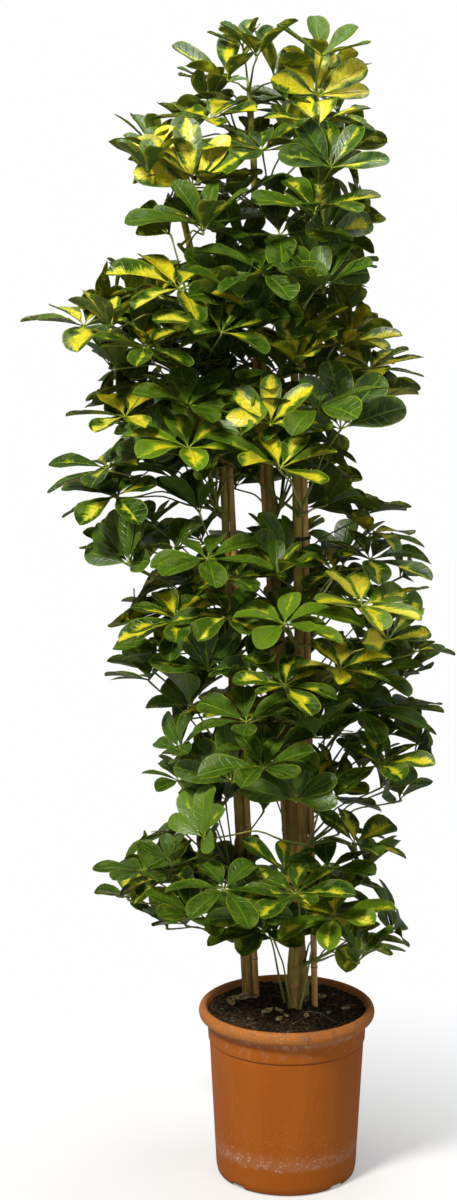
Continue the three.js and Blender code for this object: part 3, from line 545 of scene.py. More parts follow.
@dataclass(frozen=True)
class CrumbFinish(Finish):
    """Crumbly stuff such as soil, bark chips, moss and dead leaves, in two colours with a third in patches."""

    dark: tuple[float, ...] = (0.008, 0.005, 0.003, 1)
    light: tuple[float, ...] = (0.100, 0.052, 0.021, 1)
    patch: tuple[float, ...] = (0.075, 0.060, 0.022, 1)
    grain: float = 190.0
    patches: float = 0.6
    relief: float = 1.6 * MM

    def paint(self, g: Graph, shader: bpy.types.Node, place: Wire) -> None:
        """Paints fine grain and wide patches by place.

        Args:
            g: The tree.
            shader: Its shader.
            place: Where on the piece.
        """
        fine = Kit.patches(g, place, self.grain, 0.4, 0.66)
        wide = Kit.patches(g, place, self.grain * 0.12, 0.5, 0.66)
        colour = g.blend(fine, self.dark, self.light)
        g.feed(shader.inputs["Base Color"], g.blend(wide * fine * self.patches, colour, self.patch))
        self.emboss(g, shader, g.noise(place, self.grain * 2.2, 4.0, 0.7) + fine, self.relief)


@dataclass(frozen=True)
class TieFinish(Finish):
    """A soft dark plant tie with a worn, dusty skin."""

    dark: tuple[float, ...] = (0.022, 0.020, 0.017, 1)
    worn: tuple[float, ...] = (0.085, 0.075, 0.060, 1)
    relief: float = 0.3 * MM

    def paint(self, g: Graph, shader: bpy.types.Node, place: Wire) -> None:
        """Paints dust in patches by place.

        Args:
            g: The tree.
            shader: Its shader.
            place: Where on the piece.
        """
        worn = Kit.patches(g, place, 240.0, 0.45, 0.68)
        g.feed(shader.inputs["Base Color"], g.blend(worn, self.dark, self.worn))
        self.emboss(g, shader, worn, self.relief)


@dataclass(frozen=True)
class StageFinish(Finish):
    """A plain pale studio floor that melts into the background far from the plant."""

    pale: tuple[float, ...] = (0.86, 0.86, 0.85, 1)
    cloudy: tuple[float, ...] = (0.8, 0.8, 0.8, 1)
    bounce: tuple[float, ...] = (0.38, 0.38, 0.37, 1)
    glow: float = 0.99
    near: float = 0.13
    far: float = 0.80

    def paint(self, g: Graph, shader: bpy.types.Node, place: Wire) -> None:
        """Feeds a faint unevenness and a glow by the distance from the plant, and returns less light to the plant.

        Args:
            g: The tree.
            shader: Its shader.
            place: Where on the piece.
        """
        grain = g.noise(place, 3.0)
        seen = g.out(g.node("ShaderNodeLightPath"), "Is Camera Ray")
        floor = g.blend(grain * 0.05, self.pale, self.cloudy)
        g.feed(shader.inputs["Base Color"], g.blend(seen, self.bounce, floor))
        reach = g.ease(g.vector("LENGTH", place), self.near, self.far, 0.3) * seen
        light = g.node("ShaderNodeEmission", {"Color": (1, 1, 1, 1), "Strength": self.glow})
        both = g.node("ShaderNodeMixShader", {0: reach, 1: shader.outputs[0], 2: light.outputs[0]})
        g.feed(g.tree.nodes["Material Output"].inputs["Surface"], both.outputs[0])


class Palette:
    """Every material of the plant, by use."""

    def __init__(self) -> None:
        """Builds the materials."""
        self.leaf = LeafFinish("variegated_leaf", 0.24, 0.40).build()
        self.stalk = StalkFinish("leaf_stalk", 0.5).build()
        self.bark = BarkFinish("stem_bark", 0.75, 0.3).build()
        self.bamboo = BambooFinish("bamboo_skin", 0.42, 0.3).build()
        self.pot = PotFinish("terracotta_plastic", 0.48, 0.14).build()
        self.soil = CrumbFinish("potting_soil", 0.9, 0.25).build()
        self.chip = CrumbFinish(
            "pale_chips", 0.85, 0.3, (0.14, 0.085, 0.042, 1), (0.46, 0.34, 0.21, 1), (0.60, 0.53, 0.40, 1)
        ).build()
        self.moss = CrumbFinish(
            "moss", 0.9, 0.2, (0.028, 0.034, 0.010, 1), (0.11, 0.105, 0.028, 1), (0.16, 0.13, 0.05, 1)
        ).build()
        self.litter = CrumbFinish(
            "dry_leaf", 0.8, 0.3, (0.26, 0.17, 0.075, 1), (0.66, 0.52, 0.30, 1), (0.82, 0.74, 0.54, 1), 120.0
        ).build()
        self.tie = TieFinish("soft_tie", 0.6).build()


# Mesh helpers


def new_mesh(name: str, points: Any, edges: Any = (), faces: Any = (), **attributes: Any) -> bpy.types.Mesh:
    """Makes a mesh whose points carry named numbers or vectors.

    Args:
        name: The mesh's name.
        points: One row per point, in metres.
        edges: Pairs of point indices.
        faces: Rings of point indices.
        attributes: One number or one row of three per point, by name.

    Returns:
        The mesh.
    """
    mesh = bpy.data.meshes.new(name)
    mesh.from_pydata([tuple(map(float, p)) for p in points], [tuple(e) for e in edges], [tuple(f) for f in faces])
    for key, values in attributes.items():
        table = np.asarray(values, np.float32)
        layer = mesh.attributes.new(key, "FLOAT_VECTOR" if table.ndim == 2 else "FLOAT", "POINT")
        layer.data.foreach_set("vector" if table.ndim == 2 else "value", table.ravel())
    return mesh


def new_object(mesh: bpy.types.Mesh, *materials: bpy.types.Material) -> bpy.types.Object:
    """Puts a mesh in the scene.

    Args:
        mesh: The mesh.
        materials: Its materials, in order.

    Returns:
        The object, under the mesh's name.
    """
    thing = bpy.data.objects.new(mesh.name, mesh)
    bpy.context.scene.collection.objects.link(thing)
    for material in materials:
        mesh.materials.append(material)
    return thing


def turned_out(name: str, surface: bmesh.types.BMesh, *materials: bpy.types.Material) -> bpy.types.Object:
    """Puts a finished surface in the scene.

    Args:
        name: The new object's name.
        surface: The surface, which is used up.
        materials: Its materials, in order.

    Returns:
        The object.
    """
    mesh = bpy.data.meshes.new(name)
    surface.to_mesh(mesh)
    surface.free()
    return new_object(mesh, *materials)


def grow(host: bpy.types.Object, tree: bpy.types.NodeTree, **values: Any) -> bpy.types.Object:
    """Runs a geometry tree on an object and keeps the result as its plain mesh.

    Args:
        host: The object whose mesh goes in.
        tree: The tree.
        values: The tree's inputs by name, with _ for each space.

    Returns:
        The same object, without its modifier.
    """
    modifier = host.modifiers.new("grow", "NODES")
    modifier.node_group = tree
    for item in tree.interface.items_tree:
        key = item.name.replace(" ", "_").lower()
        if item.in_out == "INPUT" and key in values:
            modifier[item.identifier] = values[key]
    depsgraph = bpy.context.evaluated_depsgraph_get()
    evaluated = host.evaluated_get(depsgraph)
    mesh = bpy.data.meshes.new_from_object(evaluated, preserve_all_data_layers=True, depsgraph=depsgraph)
    host.modifiers.clear()
    host.data = mesh
    mesh.name = host.name
    return host


def show(piece: bpy.types.Object, slot: str, *nodes: str) -> None:
    """Rides a finished piece on the plant, and lets it stand for CAD nodes.

    Args:
        piece: The finished piece.
        slot: Its material slot; not used.
        nodes: The nodes that it stands for.
    """
    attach(piece, "root")
    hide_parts(*nodes)
    log.info("%s: %d points, for %s", piece.name, len(piece.data.vertices), ", ".join(nodes))


def lathe(profile: Sequence[tuple[float, float]], sides: int) -> bmesh.types.BMesh:
    """Turns a closed profile, whose ends lie on the axis, round Z.

    Args:
        profile: Radius and height of each point, in metres, from the lower middle to the upper middle.
        sides: How many steps go round.

    Returns:
        The turned surface.
    """
    surface = bmesh.new()
    rings = []
    for radius, height in profile:
        count = sides if radius > 1e-6 else 1
        turns = [TAU * k / sides for k in range(count)]
        rings.append([surface.verts.new((radius * math.cos(a), radius * math.sin(a), height)) for a in turns])
    for lower, upper in zip(rings, rings[1:]):
        for k in range(sides):
            here = [lower[k % len(lower)], lower[(k + 1) % len(lower)]]
            there = [upper[(k + 1) % len(upper)], upper[k % len(upper)]]
            corners = list(dict.fromkeys(here + there))
            if len(corners) > 2:
                surface.faces.new(corners)
    bmesh.ops.recalc_face_normals(surface, faces=surface.faces)
    for face in surface.faces:
        face.smooth = True
    return surface


def rounded(profile: Sequence[tuple[float, float]], cut: float, steps: int = 3) -> list[tuple[float, float]]:
    """Rounds the inner corners of a profile.

    Args:
        profile: The corners.
        cut: How far from each corner its round begins, at most.
        steps: How many points each round gets after its first.

    Returns:
        The profile with its ends kept.
    """
    smooth = [profile[0]]
    for before, corner, after in zip(profile, profile[1:], profile[2:]):
        a, b, c = Vector(before), Vector(corner), Vector(after)
        start = b + (a - b) * min(0.45, cut / max((a - b).length, 1e-9))
        end = b + (c - b) * min(0.45, cut / max((c - b).length, 1e-9))
        for k in range(steps + 1):
            t = k / steps
            smooth.append(tuple(start * (1 - t) ** 2 + b * 2 * t * (1 - t) + end * t * t))
    return smooth + [profile[-1]]


def through(points: Sequence[Vector], steps: int) -> list[Vector]:
    """A smooth path through points.

    Args:
        points: The points.
        steps: How many steps lie between each two.

    Returns:
        The path, with its ends kept.
    """
    path = []
    ends = [points[0] * 2 - points[1], *points, points[-1] * 2 - points[-2]]
    for a, b, c, d in zip(ends, ends[1:], ends[2:], ends[3:]):
        for k in range(steps):
            t = k / steps
            bend, swing = 2 * a - 5 * b + 4 * c - d, 3 * b - a - 3 * c + d
            path.append(0.5 * (2 * b + (c - a) * t + bend * t**2 + swing * t**3))
    return path + [points[-1]]


def merged(node: str) -> bmesh.types.BMesh:
    """A copy of a CAD node's triangles with their shared corners joined.

    Args:
        node: The node's name.

    Returns:
        The joined surface.
    """
    surface = bmesh.new()
    surface.from_mesh(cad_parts[node].data)
    bmesh.ops.remove_doubles(surface, verts=surface.verts, dist=1e-5)
    return surface


def clamped(value: float) -> float:
    """The value, held between 0 and 1."""
    return min(1.0, max(0.0, value))


def between(span: tuple[float, float], share: float) -> float:
    """The value at a share of a span."""
    return span[0] + (span[1] - span[0]) * share


def by_height(z: float, steps: Sequence[tuple[float, float]]) -> float:
    """The value of the first step whose top isn't below a height."""
    return next(value for top, value in steps if z <= top)


def chained(first: int, count: int) -> list[tuple[int, int]]:
    """The edges that join a row of points, given its first and how many they are."""
    return [(first + k, first + k + 1) for k in range(count - 1)]


def middle(points: Iterable[Vector]) -> Vector:
    """The mean of some points."""
    rows = list(points)
    return sum(rows, Vector()) / len(rows)


# Sweeps along a path


class Sweeper:
    """A geometry tree that draws a round bar along each path of a mesh, as thick as its points say."""

    def __init__(self) -> None:
        """Builds the tree."""
        ins = {"Geometry": ("Geometry", None), "Sides": ("Int", 12), "Finish": ("Material", None)}
        g, i, o = Kit.start("bar_along_path", "GeometryNodeTree", ins, {"Geometry": "Geometry"})
        bars = g.bars(i.outputs["Geometry"], i.outputs["Sides"])
        g.feed(o.inputs[0], g.out(g.dressed(g.realized(bars), i.outputs["Finish"])))
        self.tree = g.tree

    def sweep(
        self, name: str, paths: Sequence[Sequence[Vector]], girths: Sequence[Sequence[float]],
        finish: bpy.types.Material, sides: int, **extra: Sequence[float],
    ) -> bpy.types.Object:
        """Sweeps bars.

        Args:
            name: The new object's name.
            paths: The points of each bar's middle line.
            girths: The radius at each point of each path.
            finish: The material.
            sides: How many sides a bar has.
            extra: Further numbers that each point carries, for the finish.

        Returns:
            The bars as one plain mesh.
        """
        points, edges = [], []
        for path in paths:
            edges += chained(len(points), len(path))
            points += path
        mesh = new_mesh(name, points, edges, girth=[r for row in girths for r in row], **extra)
        return grow(new_object(mesh), self.tree, sides=sides, finish=finish)


# Leaves


@dataclass(frozen=True)
class Blade:
    """The shape that every leaflet is drawn from: one long, half its width each side, with its own short stalk."""

    stations: tuple[tuple[float, float], ...] = (
        (0.0, 0.050), (0.10, 0.055), (0.17, 0.16), (0.28, 0.43), (0.42, 0.74), (0.56, 0.94), (0.70, 1.01),
        (0.82, 0.95), (0.915, 0.74), (0.975, 0.42),
    )
    columns: tuple[float, ...] = (-1.0, -0.5, 0.0, 0.5, 1.0)
    stalk_radius: float = 1.0 * MM
    blade_depth: float = 0.8 * MM
    blade_from: float = 0.10
    blade_by: float = 0.23

    def build(self) -> bpy.types.Object:
        """Makes the blade as a thin closed body.

        Returns:
            The object, whose points carry their place: share of the length, share of the half width, and height.
        """
        top, bottom, places, faces, uvs = [], [], [], [], []
        for along, half in self.stations:
            flat = clamped((along - self.blade_from) / (self.blade_by - self.blade_from))
            row = []
            for column in self.columns:
                height = self.stalk_radius * (1 - flat) * math.sqrt(max(0.0, 1 - column**2))
                row.append(len(places))
                places.append((along, half * column, height))
            top.append(row)
            bottom.append(len(places))
            depth = self.stalk_radius * (1 - flat) + self.blade_depth * flat * (1.2 - 0.7 * along)
            places.append((along, 0.0, -depth))
        tip = len(places)
        places.append((1.0, 0.0, 0.0))

        def face(corners: Sequence[int], map_of: Sequence[tuple[float, float]]) -> None:
            """Adds a face with the UV place of each corner."""
            faces.append(list(corners))
            uvs.extend(map_of)

        widths = [(c + 1) / 2 for c in self.columns]
        lasts = len(self.columns) - 1
        for k in range(len(self.stations) - 1):
            a, b = self.stations[k][0], self.stations[k + 1][0]
            for j in range(lasts):
                here, there = widths[j], widths[j + 1]
                corners = (top[k][j], top[k][j + 1], top[k + 1][j + 1], top[k + 1][j])
                face(corners, ((a, here), (a, there), (b, there), (b, here)))
            face((top[k][0], top[k + 1][0], bottom[k + 1], bottom[k]), ((a, 2.0), (b, 2.0), (b, 2.5), (a, 2.5)))
            face((bottom[k], bottom[k + 1], top[k + 1][-1], top[k][-1]), ((a, 2.5), (b, 2.5), (b, 3.0), (a, 3.0)))
        a = self.stations[-1][0]
        for j in range(lasts):
            face((top[-1][j], top[-1][j + 1], tip), ((a, widths[j]), (a, widths[j + 1]), (1.0, 0.5)))
        face((top[-1][0], tip, bottom[-1]), ((a, 2.0), (1.0, 2.5), (a, 2.5)))
        face((bottom[-1], tip, top[-1][-1]), ((a, 2.5), (1.0, 2.5), (a, 3.0)))
        face((*reversed(top[0]), bottom[0]), [(0.0, w) for w in reversed(widths)] + [(0.0, 2.5)])
        mesh = new_mesh("blade_pattern", [(x, y * 0.2, z) for x, y, z in places], (), faces, place=places)
        mesh.uv_layers.new(name="blade").data.foreach_set("uv", [c for uv in uvs for c in uv])
        rim = {v for row in top for v in (row[0], row[-1])} | {tip}
        for edge in mesh.edges:
            edge.use_edge_sharp = set(edge.vertices) <= rim and len(set(edge.vertices) & set(top[0])) < 2
        mesh.polygons.foreach_set("use_smooth", [True] * len(faces))
        return new_object(mesh)


class LeafGrower:
    """A geometry tree that sets a bent blade on each leaflet's place and a bar along each stalk."""

    waves: float = 11.0
    wave_skew: float = 1.6
    droop_power: float = 2.6
    sway: float = 0.10

    def __init__(self) -> None:
        """Builds the tree."""
        ins = {
            "Geometry": ("Geometry", None), "Blade": ("Object", None), "Leaf": ("Material", None),
            "Stalk": ("Material", None), "Stalk Sides": ("Int", 5), "Ripple": ("Float", 0.07),
        }
        g, i, o = Kit.start("umbrella_leaves", "GeometryNodeTree", ins, {"Geometry": "Geometry"})
        feeds = {0: i.outputs["Geometry"], 1: g.named("leaflet")}
        parted = g.node("GeometryNodeSeparateGeometry", feeds, domain="POINT")
        pattern = g.node("GeometryNodeObjectInfo", {"Object": i.outputs["Blade"]})
        feeds = {"Points": parted.outputs[0], "Instance": pattern.outputs["Geometry"]}
        blades = g.realized(g.node("GeometryNodeInstanceOnPoints", feeds))
        bent = g.node("GeometryNodeSetPosition", {"Geometry": blades.outputs[0], "Position": self.bend(g, i)})
        leaves = g.dressed(bent, i.outputs["Leaf"])
        stalks = g.dressed(g.bars(parted.outputs[1], i.outputs["Stalk Sides"]), i.outputs["Stalk"])
        both = g.node("GeometryNodeJoinGeometry")
        for part in (stalks, leaves):
            g.tree.links.new(part.outputs[0], both.inputs[0])
        g.feed(o.inputs[0], g.out(g.realized(both)))
        self.tree = g.tree

    def bend(self, g: Graph, i: bpy.types.Node) -> Wire:
        """Where each point of a blade goes: out along its leaflet, folded, arched, twisted, rippled and drooping.

        Args:
            g: The tree.
            i: Its input node.

        Returns:
            The wire of the point's place.
        """
        vector = "FLOAT_VECTOR"
        along, across, height = g.split(g.named("place", vector))
        length, breadth, arch = g.split(g.named("size", vector))
        fold, twist, droop = g.split(g.named("lilt", vector))
        seed_x, seed_y, _ = g.split(g.named("seed", vector))
        out = length * along
        side = breadth * across
        turn = twist * along
        wave = g.math("SINE", along * self.waves + seed_x * TAU + across * self.wave_skew)
        wave = wave * breadth * across * across
        lift = height + fold * g.math("ABSOLUTE", side) + arch * along * (1.0 - along) * 4.0
        lift = lift + wave * Wire(g, i.outputs["Ripple"]) + side * g.math("SINE", turn)
        lift = lift - droop * length * g.math("POWER", along, self.droop_power)
        side = side * g.math("COSINE", turn) + (seed_y - 0.5) * length * along * along * self.sway
        ahead, sideways = g.named("ahead", vector), g.named("sideways", vector)
        up = g.vector("CROSS_PRODUCT", ahead, sideways)
        place = g.vector("ADD", g.named("hub", vector), g.vector("SCALE", ahead, scale=out))
        place = g.vector("ADD", place, g.vector("SCALE", sideways, scale=side))
        return g.vector("ADD", place, g.vector("SCALE", up, scale=lift))


@dataclass(frozen=True)
class Splash:
    """A place on the photographed side where leaves are strongly gold, or of a light green that is partly their
    fresh colour and partly painted light.
    """

    x: float
    z: float
    gold: float
    # Light green: partly the leaves' fresh colour, partly painted light
    fresh: float = 0.0


@dataclass
class Leaf:
    """One compound leaf as the frame has it: its hub, which way it faces, its leaflets and its stalk."""

    hub: Vector
    up: Vector
    leaflets: list[tuple[Vector, Vector, float, float, float]]
    stalk: list[Vector]


@dataclass(frozen=True)
class Habit:
    """How one kind of smaller leaf stands: its upward share, its lean, and its leaflets' count, cup and spread."""

    upright: float
    lean: float
    leaflets: tuple[float, float]
    cup: tuple[float, float]
    spread: float = TAU


@dataclass(frozen=True)
class Opening:
    """A part of the crown where the stems show bare on the photographed side."""

    low: float
    high: float
    left: float
    right: float


@dataclass(frozen=True)
class OwnLeaf:
    """A leaf that the photograph shows on a stalk of its own: where it grows, which way it faces and its fan."""

    spray: str
    root: tuple[float, float, float]
    hub: tuple[float, float, float]
    faces: tuple[float, float, float]
    leaflets: int
    size: float
    spread: float = TAU


class Crown:
    """The space that the frame's leaves take up: their hubs, and how far their tips reach at each height."""

    band: float = 0.025
    openings: tuple[Opening, ...] = (
        Opening(1.005, 1.065, -0.085, 0.02), Opening(0.53, 0.585, -0.085, 0.02), Opening(0.22, 0.37, -0.09, 0.085),
    )

    def __init__(self, leaves: Iterable[Leaf]) -> None:
        """Collects the hubs, and the tips by height.

        Args:
            leaves: The frame's leaves.
        """
        self.hubs: list[Vector] = []
        self.rows: dict[int, list[tuple[float, float]]] = {}
        for leaf in leaves:
            self.hubs.append(leaf.hub)
            for ahead, _, length, _, _ in leaf.leaflets:
                tip = leaf.hub + ahead * length
                x, z = PhotoView.flat(tip)
                self.rows.setdefault(int(z // self.band), []).append((x, tip.y))

    def holds(self, point: Vector) -> bool:
        """Whether a point lies within the reach of the frame's leaves and outside the openings.

        Args:
            point: The point.

        Returns:
            True where a leaf may reach it.
        """
        x, z = PhotoView.flat(point)
        level = int(z // self.band)
        near = np.array([tip for k in (-1, 0, 1) for tip in self.rows.get(level + k, ())])
        if not len(near):
            return False
        inside = np.all(near.min(axis=0) <= (x, point.y)) and np.all(near.max(axis=0) >= (x, point.y))
        return bool(inside) and not any(o.low < z < o.high and o.left < x < o.right for o in self.openings)

    def room(self, hub: Vector) -> float:
        """How far a hub is from the nearest other hub."""
        return min((hub - other).length for other in self.hubs)


@dataclass(frozen=True)
class LeafReader:
    """Finds the leaves and the shoot of a spray in its CAD node."""

    tip_at: float = 0.97
    fold: float = 0.12
    crown_edges: int = 25
    leaflet_edges: int = 5
    hub_depth: float = 2 * MM
    shoot_sides: int = 4

    def read(self, node: str) -> tuple[list[Leaf], list[Vector]]:
        """Finds the leaves of a spray node, and the corners that belong to its shoot.

        Args:
            node: The spray node's name.

        Returns:
            The leaves, and the places of all corners that no leaf has.
        """
        surface = merged(node)
        leaves, taken = [], set()
        for crown in surface.verts:
            if len(crown.link_edges) < self.crown_edges:
                continue
            following = {}
            for face in crown.link_faces:
                corners = list(face.verts)
                k = corners.index(crown)
                following[corners[(k + 1) % 3]] = corners[(k + 2) % 3]
            ring = [min(following, key=lambda v: (v.co - crown.co).length)]
            while len(ring) < len(following):
                ring.append(following[ring[-1]])
            own = {crown, *ring}
            feet = {e.other_vert(v) for v in ring[:: self.leaflet_edges] for e in v.link_edges} - own
            mids = {e.other_vert(v) for v in feet for e in v.link_edges} - own - feet
            roots = {e.other_vert(v) for v in mids for e in v.link_edges} - feet - mids
            taken |= own | feet | mids
            foot = middle(v.co for v in feet)
            up = (crown.co - foot).normalized()
            hub = crown.co - up * self.hub_depth
            leaflets = []
            for k in range(0, len(ring), self.leaflet_edges):
                left, tip_left, tip_right, right = (v.co for v in ring[k + 1 : k + self.leaflet_edges])
                tip = (tip_left + tip_right) / 2
                ahead = (tip - hub).normalized()
                sideways = right - left
                sideways = (sideways - ahead * sideways.dot(ahead)).normalized()
                if ahead.cross(sideways).dot(up) < 0:
                    sideways = -sideways
                breadth = (right - left).length / 2
                arch = ((left + right) / 2 - hub).dot(ahead.cross(sideways)) - self.fold * breadth
                leaflets.append((ahead, sideways, (tip - hub).length / self.tip_at, breadth, arch))
            path = [middle(v.co for v in roots), middle(v.co for v in mids), foot, hub]
            leaves.append(Leaf(hub.copy(), up, leaflets, [p.copy() for p in path]))
        rest = [v.co.copy() for v in surface.verts if v not in taken]
        surface.free()
        return leaves, rest

    def shoot(self, rest: list[Vector], line: list[Vector]) -> list[Vector]:
        """The path of a spray's shoot, from inside its stem to the middle of its blunt end.

        Args:
            rest: The corners of the node that no leaf has.
            line: The stem's middle line.

        Returns:
            The path.
        """

        def nearest(place: Vector) -> Vector:
            """The point of the stem's middle line that is nearest to a place."""
            return min(line, key=lambda p: (p - place).length)

        order = sorted(rest, key=lambda p: (p - nearest(p)).length)
        tip, low = middle(order[-self.shoot_sides :]), middle(order[: self.shoot_sides])
        base = nearest(low)
        return [base, base.lerp(tip, 0.5), tip + (tip - low).normalized() * 2 * MM]


@dataclass(frozen=True)
class Gilding:
    """Gold and fresh green: as the photograph shows them near a leaf, where the fresh green is partly painted
    light, and else by chance.
    """

    random: np.random.Generator
    room: float = 0.045
    front: float = 0.05
    shares: tuple[tuple[float, float], ...] = ((0.6, 0.95), (1.2, 0.9), (math.inf, 1.0))
    chances: tuple[tuple[float, float], ...] = ((0.7, 0.06), (math.inf, 0.17))
    chance_gold: tuple[float, float] = (0.35, 0.85)
    chance_fresh: float = 0.15
    young_fresh: float = 0.12
    young_from: float = 1.3
    young_at: float = 1.6
    golden: float = 0.8
    golden_rise: float = 0.015
    golden_room: float = 0.062
    golden_front: float = 0.04
    splashes: tuple[Splash, ...] = tuple(Splash(*row) for row in (
        (-0.136, 1.473, 1.0), (0.030, 1.604, 0.9), (-0.096, 1.623, 0.6), (-0.110, 1.550, 0.6),
        (0.076, 1.495, 0.3), (-0.041, 1.644, 0.4), (-0.024, 1.564, 0.4), (-0.165, 1.319, 0.8),
        (-0.106, 1.274, 0.4), (-0.297, 1.257, 0.6), (-0.184, 1.224, 0.5), (0.091, 1.237, 0.8),
        (0.087, 1.198, 0.8), (-0.207, 1.137, 0.8), (-0.257, 1.113, 0.5), (-0.270, 1.056, 0.5),
        (-0.118, 1.121, 0.5, 0.5), (-0.081, 1.133, 0.1, 0.5), (-0.100, 1.046, 0.4), (-0.051, 1.031, 0.3, 0.5),
        (0.108, 0.929, 0.5), (0.113, 0.889, 0.8, 0.5), (-0.166, 0.864, 0.6), (-0.068, 0.882, 0.4),
        (-0.013, 0.869, 0.3, 0.5), (0.077, 0.842, 0.5), (-0.011, 0.779, 0.5), (-0.064, 0.768, 0.4),
        (0.053, 0.777, 0.9), (0.193, 0.821, 0.5), (-0.127, 0.744, 0.3), (0.141, 0.647, 0.5), (0.066, 0.580, 0.6),
        (0.095, 0.515, 0.5), (-0.098, 0.512, 0.3, 0.5), (-0.057, 0.478, 0.4), (-0.200, 0.429, 0.6),
        (0.015, 0.429, 0.5), (0.084, 0.370, 0.6, 0.5), (0.112, 0.310, 0.3),
    ))

    def on(self, hub: Vector) -> tuple[float, float]:
        """How gold and how fresh a leaf is: as the photograph's side shows it, where the fresh green is partly
        painted light, or by chance.

        Args:
            hub: The leaf's hub.

        Returns:
            Its gold and its fresh green, which near a splash is partly painted light, from 0 to 1.
        """
        x, z = PhotoView.flat(hub)
        best = min(self.splashes, key=lambda s: math.hypot(s.x - x, s.z - z))
        if hub.y < self.front and math.hypot(best.x - x, best.z - z) < self.room:
            return best.gold * by_height(z, self.shares), best.fresh
        is_gold = self.random.random() < by_height(z, self.chances)
        gold = self.random.uniform(*self.chance_gold) if is_gold else 0.0
        young = clamped((z - self.young_from) / (self.young_at - self.young_from))
        return gold, self.young_fresh * young + self.chance_fresh * self.random.random()

    def hidden_by(self, hub: Vector) -> bool:
        """Whether a leaf would stand over one of the very golden leaves that the photograph shows.

        Args:
            hub: The leaf's hub.

        Returns:
            True where it would.
        """
        x, z = PhotoView.flat(hub)
        golden = [s for s in self.splashes if s.gold >= self.golden] if hub.y < self.golden_front else []
        return any(math.hypot(s.x - x, s.z + self.golden_rise - z) < self.golden_room for s in golden)


